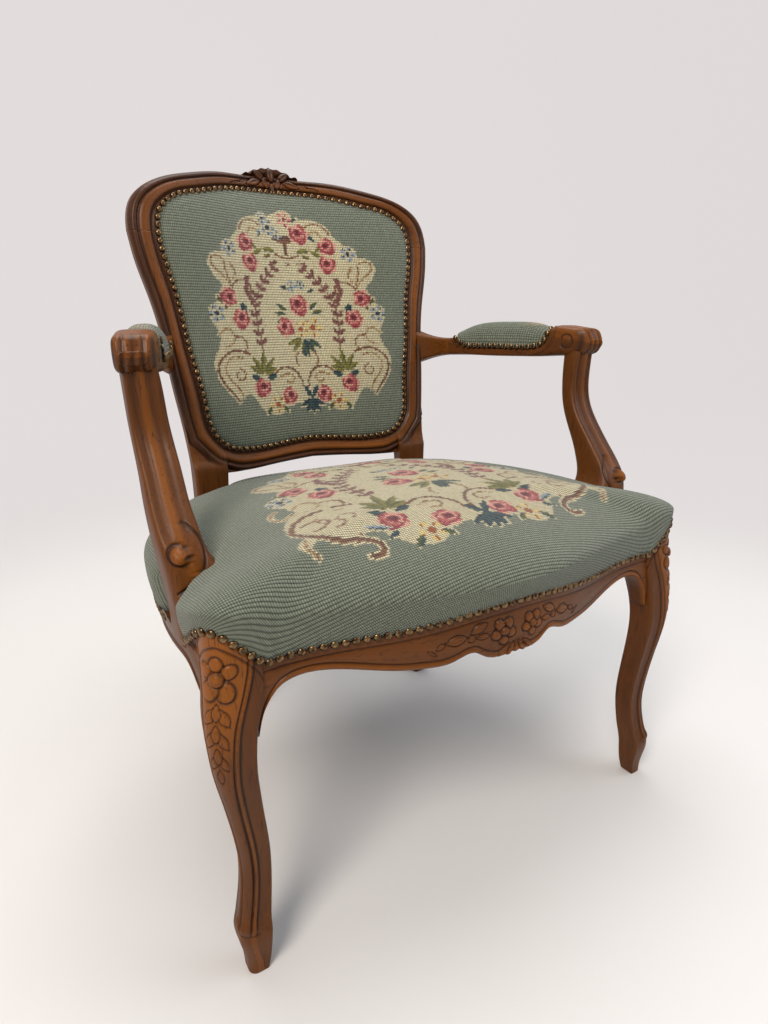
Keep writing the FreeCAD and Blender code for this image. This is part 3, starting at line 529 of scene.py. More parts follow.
crestEdge = smoothLine([(246, 760), (244, 782), (236, 803), (204, 829), (147, 848), (91, 860), (48, 862.5)], 200)
crestTop = smoothLine([(48, 862.5), (41, 867), (35, 866), (29, 872), (20, 873), (14, 876.5), (6, 876), (0, 879)], 80)
crestOuter = np.concatenate([crestEdge, crestTop[1:]])
crestInner = smoothLine([(192, 760), (190, 775), (184, 785), (160, 802), (137, 808), (103, 817), (60, 824), (0, 826)],
                        len(crestOuter))
crestInner, crestOuter = (np.concatenate([half, otherSide(half[:-1])]) for half in (crestInner, crestOuter))
addWood("crestRail", backPlank(crestInner, crestOuter, crestShapes), beechAcross, "crest_rail")

lowerX = np.linspace(-152, 152, 240)
lowerInner = np.stack([lowerX, splineAt([0, 45, 92, 120, 158], [472, 469, 466, 468, 477], np.abs(lowerX))], axis=1)
lowerOuter = np.stack([lowerX, splineAt([0, 40, 75, 110, 158], [426, 424, 422, 420, 421], np.abs(lowerX))], axis=1)
addWood("lowerBackRail", backPlank(lowerInner, lowerOuter, []), beechAcross, "lower_back_rail")

stileShape = {
    "legZ": [0, 60, 150, 240, 300, 360, 420, 460], "legFront": [115, 116, 124.5, 135, 140.5, 142, 142, 142],
    "legBack": [141, 144, 155.5, 166, 170.5, 171, 171, 171],
    "innerZ": [0, 60, 150, 240, 300, 360, 415, 476, 505, 565, 640, 711, 760],
    "innerX": [169.5, 168.5, 166, 163, 157, 155, 153, 152, 156, 167, 177, 187, 192],
    "outerZ": [0, 60, 150, 240, 300, 360, 393, 436, 500, 550, 635, 680, 722, 760],
    "outerX": [195.5, 196.5, 197, 198, 202, 202, 202, 203, 208, 214, 222, 231, 241, 246]}


# The rear leg is a square that tapers to the foot. Above the seat it becomes the side of the back
def stileRings():
    z = np.concatenate([np.linspace(0, 400, 130), np.linspace(402, 760, 260)])[:, None]
    s, q = plankLoop(70, 9, 18)
    inner = splineAt(stileShape["innerZ"], stileShape["innerX"], z)
    outer = splineAt(stileShape["outerZ"], stileShape["outerX"], z)
    x = inner + (outer - inner) * s
    z = z + 0 * x
    relief, hollow, rub = backRelief(x, z)
    above = smoothStep(432, 446, z)
    fromEdge = np.minimum(x - inner, outer - x)
    plainDrop = edgeDrop(fromEdge, 5.0)
    legFront = splineAt(stileShape["legZ"], stileShape["legFront"], z)
    legBack = splineAt(stileShape["legZ"], stileShape["legBack"], z)
    blend = smoothStep(425, 455, z)
    front = legFront + (backFront(x, z) - legFront) * blend
    back = legBack + (backFront(x, z) + backShape["thickness"] - legBack) * blend
    height = relief * above - plainDrop * (1 - above)
    frontSide = np.where(s == 1, height[:, 69:70], height[:, :1])
    y = np.where(q == 0, front - height, back - edgeDrop(fromEdge, 5.0))
    sideY = front - frontSide + (back - 5 - front + frontSide) * q
    y = np.where((q > 0) & (q < 1), sideY, y)
    face = q == 0
    tones = {"hollow": hollow * above * face, "rub": np.where(face, rub * above + 0.3 * (1 - above), 0.3)}
    return np.stack([x, y, z], axis=-1), tones


addWood("rearLegStile", stileRings(), beechUp, "rear_leg_stile", bothHands)
print("back frame made")


legShape = {
    "share": [0, .031, .078, .130, .181, .233, .311, .389, .466, .544, .622, .699, .751, .803, .868, .92, 1],
    "dx": [3, 2, 3, 4, 1, -2.5, -5, -3.5, .5, 5, 9, 9.5, 8, 4.5, 1, 0, 0],
    "dy": [-18, -17, -17, -17, -13, -10, -7.5, -8, -9.5, -11.5, -12.5, -10.5, -7.5, -5, -1.5, 0, 0],
    "side": [20, 23, 28, 32, 31, 29.5, 29, 30, 31.5, 34, 37.5, 41.5, 45, 48, 49, 49, 49],
    "height": 386.0, "x": 289.0, "y": -260.0}
# Flower and husks of the knee: place along the outline from the front outer corner, and height
kneeShapes = (
    [(0, 247, 8, 3.0, 90, 1.8, 0.6), (-4, 262, 9.5, 3.6, 66, 2.2, 0.7), (4, 262, 9.5, 3.6, 114, 2.2, 0.7),
     (0, 268, 8, 3.6, 90, 2.6, 0.4), (-5.5, 284, 10.5, 4.2, 62, 2.4, 0.7), (5.5, 284, 10.5, 4.2, 118, 2.4, 0.7),
     (0, 290, 8.5, 4.0, 90, 2.9, 0.4), (-6.5, 306, 10.5, 4.6, 58, 2.6, 0.7), (6.5, 306, 10.5, 4.6, 122, 2.6, 0.7),
     (0, 310, 8, 4.2, 90, 2.9, 0.4)]
    + flowerShapes(0, 341, 13, 8.0, 6.6, (90, 150, 30), 2.8, 7.0)[:-1]
    + flowerShapes(0, 341, 13.5, 10.5, 8.6, (-122, -58), 3.6, 7.0))


# Unit square outline with a big round at the front outer corner and small ones elsewhere.
# It is given clockwise from the inner rear, with its outward normals and the signed length from the
# middle of the big round.
def kneeOutline(count):
    corners = [((-.5, .5), .10), ((-.5, -.5), .10), ((.5, -.5), .42), ((.5, .5), .10)]
    points = []
    for (cx, cy), radius in corners:
        mx, my = cx - radius * np.sign(cx), cy - radius * np.sign(cy)
        start = {(-1, 1): 90, (-1, -1): 180, (1, -1): 270, (1, 1): 0}[(int(np.sign(cx)), int(np.sign(cy)))]
        turn = np.radians(start + np.linspace(0, 90, 24))
        points += list(zip(mx + radius * np.cos(turn), my + radius * np.sin(turn)))
    points = np.array(points + points[:1])
    points = evenLine(points, count + 1)
    run = np.gradient(points, axis=0)
    normal = np.stack([run[:, 1], -run[:, 0]], axis=1)
    normal /= np.linalg.norm(normal, axis=1)[:, None]
    length = np.r_[0, np.cumsum(np.linalg.norm(np.diff(points, axis=0), axis=1))]
    corner = np.argmin(np.hypot(points[:, 0] - .377, points[:, 1] + .377))
    signed = length - length[corner]
    signed = np.where(signed > length[-1] / 2, signed - length[-1], signed)
    signed = np.where(signed < -length[-1] / 2, signed + length[-1], signed)
    return points[:-1], normal[:-1], signed[:-1]


# Front leg: a rounded square at each height, its middle and side on splines, plus relief along its normals
def legRings():
    outline, normal, signed = kneeOutline(168)
    share = np.concatenate([np.linspace(0, .16, 70), np.linspace(.1625, 1, 330)])
    z = share * legShape["height"]
    side, dx, dy = (splineAt(legShape["share"], legShape[k], share)[:, None] for k in ("side", "dx", "dy"))
    w = signed * side
    zz = z[:, None] + 0 * w
    far = np.abs(w)
    # the carved panel narrows from the knee to the ankle and stays a ridge down to the foot
    panel = splineAt([55, 90, 150, 210, 260, 310, 345, 386], [6, 6, 6.5, 8, 13, 21, 28, 31], z)[:, None]
    relief, hollow = np.zeros((2, *w.shape))
    onBead = (far > panel) & (far < panel + 6)
    relief += np.where(far < panel, 1.4, 0)
    relief += np.where(onBead, 1.5 * hump(far, panel, 6), 0)
    relief -= np.where(far > panel + 6, 1.6 * hump(far, panel + 6, 0.9 * side - panel), 0)
    foot = smoothStep(50, 66, zz)
    front = far < 1.02 * side
    relief *= foot * front
    for place in (0, 6):
        incise(relief, hollow, np.where(front, (far - panel - place), 99) / np.maximum(foot, .02), 1.2, 1.7, 0.85)
    # round ledge where the mouldings end above the plain toe
    relief += 1.6 * bell(zz, 61, 5) * (far < 16)
    incise(relief, hollow, np.where(far < 16, zz - 55, 99), 1.2, 0.9, 0.6)
    # arc cut under the nails, highest at the corner
    arc = 371 - 36 * (far / 42) ** 1.5
    incise(relief, hollow, np.where(front, zz - arc, 99), 1.3, 1.6, 0.85)
    relief, hollow = carve(relief, hollow, w, zz, kneeShapes)
    rub = 0.25 + 0.75 * smoothStep(200, 300, zz) * (far < panel + 2) + 0.3 * onBead
    x = legShape["x"] + dx + side * outline[:, 0] + relief * normal[:, 0]
    y = legShape["y"] + dy + side * outline[:, 1] + relief * normal[:, 1]
    return np.stack([x, y, zz], axis=-1), {"hollow": hollow, "rub": np.clip(rub, 0, 1)}


addWood("frontLeg", legRings(), beechUp, "front_leg", bothHands)
print("front legs made")


railShape = {"half": 264.5, "thickness": 26.0,
             "lowX": [0, 20, 38, 50, 75, 105, 130, 160, 190, 222, 242, 255, 264.5, 270, 274.5],
             "lowZ": [301, 299, 303, 310, 305, 303, 305, 311, 318, 322, 319, 311, 298, 285, 266]}
railShapes = (mirroredShapes([
    (-100, 320, 6, 1.8, -35, 1.2, 0.5), (-91, 326, 5.5, 3, 30, 1.6, 0.3), (-74, 330, 12, 5.5, 8, 2.4, 0.7),
    (-57, 329, 4.5, 3.8, 40, 1.8, 0.2), (-49, 339, 11, 5.0, 24, 2.6, 0.7), (-44, 329, 8, 3.2, 4, 2.4, 0.6),
    (-17, 307, 10, 2.8, 40, 2.6, 0.5), (-8, 305.5, 10, 2.5, 62, 2.6, 0.4), (0, 304.5, 10, 2.5, 90, 2.6, 0.4)])
    + flowerShapes(22, 330, 8.5, 6.8, 5.6, (-90, -18, 198, 54, 126), 3.0, 4.6)
    + flowerShapes(-18, 330, 9, 7.2, 6.0, (-90, -18, 198, 54, 126), 3.2, 5.2))


def railFace(x):
    return -280.0 - 44.0 * (0.5 + 0.5 * np.cos(np.pi * np.minimum(np.abs(x) / 264.5, 1)))


def nailHeight(x):
    share = np.abs(x) / 264.5
    return (347 + 15 * np.cos(np.pi * np.minimum(share, 0.6) / 1.2) ** 2
            + 3.5 * np.sin(np.pi * np.minimum(share, 1)) * share)


# Front rail: a plank from its lower spline to just above the nail line, bowed by a cosine, plus relief
def frontRailRings():
    s, q = plankLoop(84, 5, 16)
    x = np.linspace(-274, 274, 620)[:, None]
    low = splineAt(railShape["lowX"], railShape["lowZ"], np.abs(x))
    high = nailHeight(x) + 9
    z = low + (high - low) * s
    x = x + 0 * z
    nails = nailHeight(x)
    relief = 1.2 * hump(z - low, 8, nails - 20 - low)
    hollow = np.zeros_like(z)
    incise(relief, hollow, z - nails + 11.5, 0.9, 1.1, 0.7)
    relief += 1.3 * hump(z - low, 1.5, 6) * (z - low < 7.5)
    incise(relief, hollow, z - low - 8, 0.9, 1.2, 0.7)
    relief, hollow = carve(relief, hollow, x, z, railShapes)
    relief = np.where(z > nails - 2, -2.6, relief) - edgeDrop(z - low, 3.0)
    back = railShape["thickness"] - edgeDrop(np.minimum(s, 1 - s) * (high - low), 3.0)
    y = railFace(x) + np.where(q == 0, -relief, np.where(q == 1, back, 3 + 20 * q))
    face = q == 0
    rub = np.where(face, 0.45 + 0.4 * bell(z - low, 4, 3) + 0.25 * (relief > 2), 0.2)
    return np.stack([x, y, z], axis=-1), {"hollow": hollow * face, "rub": np.clip(rub, 0, 1)}


addWood("frontSeatRail", frontRailRings(), beechAcross, "front_seat_rail")

sideLineY = [-243, -190.2, -129.8, -61.85, 9.9, 70.3, 115.6, 149.5]
sideLineX = [311, 315, 316, 309, 289, 255.5, 221.5, 205]


def sideX(y):
    return splineAt(sideLineY, sideLineX, y)


# Side rail: the same kind of plank, set off from the side line along its normal
def sideRailRings():
    s, q = plankLoop(30, 5, 10)
    y = np.linspace(-240, 146, 240)[:, None]
    low = splineAt([-245, -229, -215, -175, -35, 75, 150], [296, 305, 315, 321, 320, 313, 306], y)
    z = low + (356 - low) * s
    relief = 0.8 * hump(z - low, 8, 28)
    hollow = np.zeros_like(z)
    relief += 1.2 * hump(z - low, 1.5, 6) * (z - low < 7.5)
    incise(relief, hollow, z - low - 8, 0.9, 1.1, 0.7)
    relief = np.where(z > 346, -2.6, relief) - edgeDrop(z - low, 3.0)
    run = np.gradient(sideX(y[:, 0]), y[:, 0])[:, None]
    length = np.sqrt(1 + run * run)
    out = np.where(q == 0, relief, np.where(q == 1, -26.0, -3 - 20 * q))
    x = sideX(y) + out / length
    yy = y - out * run / length
    rub = np.where(q == 0, 0.35, 0.2) + 0 * z
    return np.stack([x, yy, z], axis=-1), {"hollow": hollow * (q == 0), "rub": rub}


addWood("sideSeatRail", sideRailRings(), beechAlong, "side_seat_rail", bothHands)
print("seat rails made")


armShape = {"y": [192, 176, 160, 142, 112, 82, 40, -20, -50, -64, -84, -101, -112, -118],
            "width": [24, 23, 23, 26, 32, 38, 42, 43, 43, 43, 43, 42, 38, 31],
            "low": [566, 573, 579, 583, 585, 586, 586, 587, 588, 589, 590, 591, 594, 599],
            "high": [627, 619, 614, 612, 613, 613, 613, 613, 621, 631, 632.5, 630, 625, 616],
            "front": -118.5, "nose": 6.0, "reed": 9.5, "scroll": (-89, 611, 9.5), "whorl": (-85, 607, 4.0)}
cradleLine = np.array([(-62, 640), (-60, 618), (-56, 609), (-48, 602), (-38, 599), (0, 598), (60, 598), (82, 599),
                       (92, 603), (100, 609), (107, 615), (110, 622)], float)


def armAxis(y):
    share = (180.0 - y) / 297.0
    return 229.0 + 89.0 * share - 12.0 * np.maximum(0, 1 - share / 0.16) ** 2


# Section of a squared bar with rounded corners: a superellipse, flatter as the power grows
def superLoop(count, power):
    turn = np.linspace(0, 2 * np.pi, count, endpoint=False)
    c, s = np.cos(turn), np.sin(turn)
    return np.sign(c) * np.abs(c) ** (2 / power), np.sign(s) * np.abs(s) ** (2 / power)


# Arm: superellipse sections along Y round the arm's axis, cut off above by the cradle line of the pad
def armRings():
    y = np.concatenate([np.linspace(192, 125, 60), np.linspace(124, -66, 170), np.linspace(-67, armShape["front"], 90),
                        np.full(30, float(armShape["front"]))])[:, None]
    shrink = np.concatenate([np.ones(320), np.linspace(0.97, 0.02, 30)])[:, None]   # closes the flat front in rings
    a, b = superLoop(120, 5.0)
    width, low, high = (splineAt(armShape["y"][::-1], armShape[k][::-1], y) for k in ("width", "low", "high"))
    cradle = np.interp(y, cradleLine[:, 0], cradleLine[:, 1], left=700, right=700)
    high = np.minimum(high, cradle + 1)
    nose = np.sqrt(np.clip((y - armShape["front"]) / armShape["nose"], 0.2, 1))
    z = 0.5 * (low + high) + 0.5 * (high - low) * b * nose ** (0.25 + 0.3 * (b > 0)) * shrink
    u = 0.5 * width * a * nose ** 0.2 * shrink
    u = u * (1 - 0.06 * smoothStep(-88, -110, y) * np.clip(-b, 0, 1))
    # reeds on the flat front of the knuckle and a hollow along the neck near the back
    reeds = np.cos(2 * np.pi * u / armShape["reed"])
    flute = smoothStep(-98, -112, y) * (reeds * 1.3 + 2.5 * np.clip(-b, 0, 1) * shrink)
    neck = smoothStep(125, 160, y) * 2.0 * (1 - np.abs(b) ** 2)
    u = u - np.sign(a) * neck * (np.abs(a) > 0.8)
    yy = y + flute * np.ones_like(a)
    relief, hollow = np.zeros((2, *z.shape))
    onSide = np.abs(a) > 0.82
    ends = (y < -34) | (y > 78)
    band = lineDistance(y + 0 * z, z, cradleLine)
    inZone = onSide & ends & (y > -84) & (y < 140)
    incise(relief, hollow, np.where(inZone, band - 9.5, 99), 0.8, 1.0, 0.7)
    cy, cz, radius = armShape["scroll"]
    scroll = np.abs(np.hypot(y - cy, z - cz) - radius)
    opened = (np.degrees(np.arctan2(z - cz, cy - y)) > 150) & (z > cz)
    incise(relief, hollow, np.where(onSide & ~opened, scroll, 99), 1.1, 1.6, 0.9)
    cy, cz, radius = armShape["whorl"]
    whorl = np.abs(np.hypot(y - cy, z - cz) - radius)
    incise(relief, hollow, np.where(onSide & (z < cz + 3), whorl, 99), 0.7, 0.9, 0.6)
    # painted shade between the reeds and along the lower edge of the knuckle
    hollow = np.maximum(hollow, smoothStep(-98, -112, y) * 0.7 * np.clip(reeds, 0, 1))
    hollow = np.maximum(hollow, 0.8 * bell(z - low, 1, 1) * (y < -74) * (y > -112) * (np.abs(b) > .9))
    x = armAxis(y) + u + np.sign(a) * relief
    rub = 0.3 + 0.5 * smoothStep(-60, -80, y) * (b > 0.3) + 0.2 * (y > 120)
    return np.stack([x + 0 * z, yy + 0 * z, z], axis=-1), {"hollow": hollow, "rub": rub + 0 * z}


addWood("arm", armRings(), beechAlong, "arm", bothHands)

supportShape = {"z": [338, 365, 386, 405, 425, 445, 465, 490, 520, 545, 572, 596],
                "xLow": [288, 271, 254, 266, 279, 283, 285, 285, 286, 288, 290, 293],
                "xHigh": [318, 319, 321, 323, 325, 326, 326, 325, 325, 326, 327, 328],
                "yLow": [-206, -205, -202, -197, -191, -178, -160, -139, -118, -110, -109, -110],
                "yHigh": [-150, -146, -140, -136, -132, -125, -116, -104, -91, -85, -82, -80],
                "boss": (310.5, 428, 8.6, 8.5)}
voluteLine = smoothLine([(302, 455), (289, 443), (285, 426), (289, 411), (301, 400), (315, 392)], 40)


# Support: superellipse sections between four splines of the height, plus flutes, a boss and its volute
def supportRings():
    z = np.linspace(338, 597, 300)[:, None]
    a, b = superLoop(128, 4.5)
    xLow, xHigh, yLow, yHigh = (
        splineAt(supportShape["z"], supportShape[k], z) for k in ("xLow", "xHigh", "yLow", "yHigh"))
    zz = z + 0 * a
    x = 0.5 * (xLow + xHigh) + 0.5 * (xHigh - xLow) * a
    y = 0.5 * (yLow + yHigh) + 0.5 * (yHigh - yLow) * b
    share = (xHigh - x) / (xHigh - xLow)
    onFront = smoothStep(-0.55, -0.9, b)
    above = smoothStep(432, 450, zz)
    relief, hollow = np.zeros((2, *zz.shape))
    flutes = (2.2 * bell(share, .44, .07) - 3.4 * bell(share, .24, .12)
              - 3.2 * bell(share, .66, .13))
    relief += flutes * onFront * above
    # painted shade: the hollow flutes are darkened in proportion to their depth
    hollow += 0.30 * np.clip(-flutes / 2.4, 0, 1) * onFront * above
    fromVolute = lineDistance(x, zz, voluteLine)
    incise(relief, hollow, np.where((b < -0.3), fromVolute, 99), 1.5, 2.6, 0.9)
    cx, cz, radius, height = supportShape["boss"]
    boss = np.hypot(x - cx, zz - cz) / radius
    dome = height * np.sqrt(np.clip(1 - boss ** 2, 0, 1)) * (b < 0)
    relief = np.where(dome > 0, dome, relief)
    hollow = np.where(dome > 0, 0, hollow)
    incise(relief, hollow, np.where(b < 0, (boss - 1.08) * radius, 99), 1.4, 1.8, 0.9)
    y = y - relief * onFront - relief * (dome > 0) * (1 - onFront)
    rub = 0.35 + 0.5 * bell(share, .46, .12) * onFront + 0.5 * (dome > 3)
    return np.stack([x, y, zz], axis=-1), {"hollow": np.clip(hollow, 0, 1), "rub": np.clip(rub, 0, 1)}


addWood("armSupport", supportRings(), beechUp, "arm_support", bothHands)
print("arms made")


wool = {"sage": "#727867", "cream": "#c2b794", "wine": "#5d2028", "red": "#8d3a40", "rose": "#b4615c",
        "blush": "#d09a86", "brown": "#7b543c", "umber": "#5f4236", "mauve": "#7d5149", "tan": "#a3875f",
        "olive": "#7d7536", "moss": "#55592f", "navy": "#27323c", "teal": "#2f4748", "sky": "#8b98a0",
        "yellow": "#d2ba7b", "orange": "#9a5528"}
wool = {label: linear(code) for label, code in wool.items()}


# A canvas is the flat place of each vertex and its colour. Each motif first lays a cream halo and
# then, on the second round, its own colours.
def newCanvas(x, y, stitch, row):
    x, y = np.ravel(x), np.ravel(y)
    return {"x": np.round(x / stitch) * stitch, "y": np.round(y / row) * row,
            "yarn": np.tile(wool["sage"], (x.size, 1)), "halo": True, "flip": 1.0}


def lay(canvas, mask, label):
    canvas["yarn"][mask] = wool[label]


def local(canvas, cx, cy, turn=0.0):
    c, s = math.cos(math.radians(turn)), math.sin(math.radians(turn))
    dx, dy = canvas["flip"] * canvas["x"] - cx, canvas["y"] - cy
    return dx * c + dy * s, -dx * s + dy * c


# A cabbage rose: a dark heart inside a light ring, cupped petals as arcs of light and shade, and a
# shaded lower edge
def rose(canvas, cx, cy, r, turn=0.0):
    u, v = local(canvas, cx, cy, turn)
    d, angle = np.hypot(u, v) / r, np.arctan2(v, u)
    if canvas["halo"]:
        return lay(canvas, d < 1 + 1.5 / r, "cream")
    inside = d < 0.95 + 0.07 * np.cos(5 * angle)
    lay(canvas, inside, "rose")
    lay(canvas, inside & (d > 0.5) & (np.cos(3 * angle + 0.5) > 0.35), "blush")
    lay(canvas, inside & (d > 0.78) & (np.cos(3 * angle + 0.5) < -0.4), "red")
    lay(canvas, inside & (np.abs(d - 0.66) < 0.09) & (v < 0.2 * r), "red")
    heart = np.hypot(u + 0.08 * r, 1.1 * (v - 0.18 * r)) / r
    lay(canvas, heart < 0.54, "blush")
    lay(canvas, heart < 0.42, "red")
    lay(canvas, heart < 0.24, "wine")


# A pointed leaf: half width falls as one minus the square of the way along, one side darker
def leaf(canvas, cx, cy, length, width, turn, light="olive", dark="moss"):
    u, v = local(canvas, cx, cy, turn)
    grow = 1.5 if canvas["halo"] else 0.0
    t = (u / (length / 2 + grow)) ** 2
    inside = (t < 1) & (np.abs(v) < (width / 2 + grow) * (1 - t))
    lay(canvas, inside, "cream" if canvas["halo"] else light)
    if not canvas["halo"]:
        lay(canvas, inside & (v < -0.1 * width), dark)


def stroke(canvas, points, width, label, dark=None):
    line = smoothLine(points, 8 * len(points))
    x, y = canvas["flip"] * canvas["x"], canvas["y"]
    reach = 12 + width
    near = ((x > line[:, 0].min() - reach) & (x < line[:, 0].max() + reach)
            & (y > line[:, 1].min() - reach) & (y < line[:, 1].max() + reach))
    d = np.full(len(x), 1e3)
    d[near] = lineDistance(x[near], y[near], line)
    if canvas["halo"]:
        return lay(canvas, d < width / 2 + 2.4, "cream")
    lay(canvas, d < width / 2, label)
    if dark:
        shifted = np.full(len(x), 1e3)
        shifted[near] = lineDistance(x[near] - 0.35 * width, y[near] + 0.35 * width, line)
        lay(canvas, (d < width / 2) & (shifted > width / 2), dark)


# Small round flower: five petals with darker tips and gaps, a light ring and a dark heart
def blossom(canvas, cx, cy, r, petal="sky", heart="navy"):
    u, v = local(canvas, cx, cy)
    d, angle = np.hypot(u, v) / r, np.arctan2(v, u)
    inside = d < 0.86 + 0.14 * np.cos(5 * angle)
    if canvas["halo"]:
        return lay(canvas, d < 1 + 1.2 / r, "cream")
    lay(canvas, inside, petal)
    lay(canvas, inside & (np.cos(5 * angle) < -0.55) & (d > 0.35), "cream")
    lay(canvas, inside & (np.cos(5 * angle + 1.4) > 0.8) & (d > 0.45), heart)
    lay(canvas, np.abs(d - 0.42) < 0.1, "cream")
    lay(canvas, d < 0.3, heart)


def twig(canvas, points, leafLength, sides=(1, -1), label="mauve"):
    line = smoothLine(points, 72)
    stroke(canvas, points, 2.8, label)
    for i in range(4, 70, 7):
        run = line[i + 1] - line[i - 1]
        angle = math.degrees(math.atan2(run[1], run[0]))
        for side in sides:
            turn = angle + side * 42
            cx = line[i, 0] + 0.55 * leafLength * math.cos(math.radians(turn))
            cy = line[i, 1] + 0.55 * leafLength * math.sin(math.radians(turn))
            leaf(canvas, cx, cy, leafLength, 6.4, turn, label, "umber")


def plume(canvas, cx, cy, turn, length):
    for spread, size in ((-62, .75), (-34, .95), (0, 1.1), (34, .95), (62, .75)):
        angle = math.radians(turn + spread)
        leaf(canvas, cx + 0.55 * size * length * math.cos(angle), cy + 0.55 * size * length * math.sin(angle),
             size * length, 9.0, turn + spread)


# Right half of the cream ground, from the top round to the bottom
medallion = [(0, 810), (30, 800), (60, 796), (80, 776), (98, 757), (112, 742), (132, 738), (141, 724), (131, 702),
             (122, 690), (130, 672), (146, 662), (148, 642), (138, 626), (141, 604), (150, 588), (150, 566),
             (138, 546), (124, 526), (112, 530), (98, 532), (86, 516), (72, 502), (48, 500), (36, 510), (18, 514),
             (0, 512)]


def insideOutline(x, y, outline):
    inside = np.zeros(len(x), bool)
    for (x0, y0), (x1, y1) in zip(outline, np.roll(outline, -1, axis=0)):
        crosses = (y0 > y) != (y1 > y)
        inside ^= crosses & (x < x0 + (x1 - x0) * (y - y0) / (y1 - y0 if y1 != y0 else 1e-9))
    return inside


# One side of the wreath, each motif with its place, size and wools: u is across and v up the canvas
wreathSide = [
    (stroke, [(92, 592), (112, 598), (132, 592), (146, 577), (143, 556), (130, 538), (120, 524)], 3.6, "brown",
     "umber"),
    (stroke, [(104, 586), (122, 588), (134, 576), (131, 558), (118, 542), (112, 530)], 2.8, "tan", "brown"),
    (stroke, [(112, 572), (104, 566), (108, 556), (118, 558), (117, 567)], 2.8, "brown"),
    (stroke, [(50, 563), (34, 570), (16, 564), (7, 550), (3, 535)], 3.4, "brown", "umber"),
    (stroke, [(42, 556), (30, 560), (20, 554), (24, 546), (32, 548)], 2.8, "tan", "brown"),
    (stroke, [(108, 692), (118, 706), (130, 716), (136, 728), (126, 734), (114, 728), (112, 712), (107, 698)], 2.8,
     "brown", "tan"), (stroke, [(104, 700), (98, 714), (104, 726), (100, 716)], 3.0, "tan", "brown"),
    (stroke, [(106, 690), (94, 700), (80, 700), (72, 688), (78, 680), (84, 686)], 2.8, "brown"),
    (stroke, [(137, 622), (124, 630), (114, 620), (118, 608), (130, 604)], 2.8, "tan", "brown"),
    (stroke, [(112, 618), (100, 616), (94, 604), (100, 594)], 2.8, "brown"),
    (stroke, [(38, 786), (50, 792), (66, 790), (76, 778)], 2.8, "brown", "tan"),
    (stroke, [(46, 778), (56, 781), (62, 770)], 2.8, "tan"),
    (twig, [(66, 596), (70, 632), (70, 662), (57, 688), (42, 706), (24, 724)], 14),
    (twig, [(70, 664), (82, 684), (80, 704)], 10, (1,)), (plume, 71, 560, 95, 34),
    (leaf, 84, 556, 22, 9, 20, "teal", "navy"), (leaf, 58, 557, 20, 9, 165, "teal", "navy"),
    (leaf, 90, 660, 18, 11, 70, "teal", "navy"), (leaf, 30, 749, 24, 8, 8), (leaf, 50, 745, 20, 8, -30),
    (leaf, 34, 740, 16, 6, -20, "olive", "umber"), (leaf, 56, 754, 14, 6, 30),
    (leaf, 130, 672, 16, 6, 50, "moss", "umber"), (leaf, 118, 664, 14, 6, 120, "moss", "umber"),
    (blossom, 101, 746, 12.5), (blossom, 137, 652, 13), (blossom, 54, 514, 14, "yellow", "orange"),
    (leaf, 70, 506, 16, 7, -50, "moss", "teal"), (leaf, 40, 506, 14, 6, -130, "moss", "teal"),
    (rose, 70, 757, 14.5, 20), (rose, 66, 728, 14.5, -30), (rose, 114, 676, 14.5, 70), (rose, 97, 643, 15.5, -10),
    (rose, 77, 541, 15, 10), (rose, 31, 526, 14, 30)]


def leafFan(cx, cy, reachX, reachY, length, width, dark, leaves):
    return [(leaf, cx + reachX * math.cos(math.radians(turn)), cy + reachY * math.sin(math.radians(turn)), length,
             width, turn, light, dark) for light, turns in leaves.items() for turn in turns]


# Its middle: stem and flowers at the top, the dark leaf below, and the bunch
wreathMiddle = (
    [(leaf, 0, 766, 40, 13, 0, "umber", "brown"), (stroke, [(1, 766), (2, 742)], 4.0, "brown", "umber"),
     (stroke, [(-18, 742), (2, 737), (22, 742)], 3.0, "brown")]
    + [(blossom, dx, 728 + 0.1 * abs(dx), 4.5, "brown", "umber") for dx in (-22, 20, 0)]
    + [(blossom, -24, 783, 13), (blossom, -11, 772, 8.5), (blossom, -32, 797, 9),
       (leaf, -42, 774, 14, 6, 60, "sky", "navy"), (blossom, 7, 798, 13, "blush", "red"),
       (leaf, 24, 797, 12, 5, 40, "teal", "navy"), (leaf, 46, 770, 18, 7, -40, "teal", "navy"),
       (rose, 27, 775, 16.5, 0)]
    + leafFan(8, 520, 12, 12, 24, 8, "navy", {"teal": (-90, -62, -118, -30, -150, 60, 120)})
    + leafFan(10, 616, 20, 18, 28, 8, "moss", {"teal": (-100, -64, -36), "navy": (-84,), "olive": (-135, -158)})
    + leafFan(6, 648, 33, 26, 20, 7, "teal", {"moss": (14, 38, 150, 172, 195)})
    + [(stroke, [(10, 612), (9, 586)], 2.8, "teal"), (stroke, [(22, 592), (27, 582), (24, 572)], 2.8, "brown", "tan"),
       (stroke, [(-6, 592), (-12, 582), (-9, 572)], 2.8, "brown", "tan"), (blossom, 0, 694, 9),
       (blossom, 16, 697, 8), (leaf, -14, 692, 13, 6, 160, "teal", "navy"), (leaf, 32, 688, 12, 5, 20, "teal", "navy"),
       (blossom, 26, 630, 16, "yellow", "orange"), (blossom, 6, 628, 13, "yellow", "orange"),
       (rose, -20, 631, 15.5, 40), (rose, 8, 664, 17.5, 0)])


def stitch(canvas, rounds):
    for halo in (True, False):
        canvas["halo"] = halo
        for flip, motifs in rounds:
            canvas["flip"] = flip
            for motif, *values in motifs:
                motif(canvas, *values)
    return canvas["yarn"]


def wreath(canvas):
    half = smoothLine(medallion, 90)
    outline = np.concatenate([half, otherSide(half[1:-1])])
    lay(canvas, insideOutline(canvas["x"], canvas["y"], outline), "cream")
    return stitch(canvas, ((1.0, wreathSide), (-1.0, wreathSide), (1.0, wreathMiddle)))


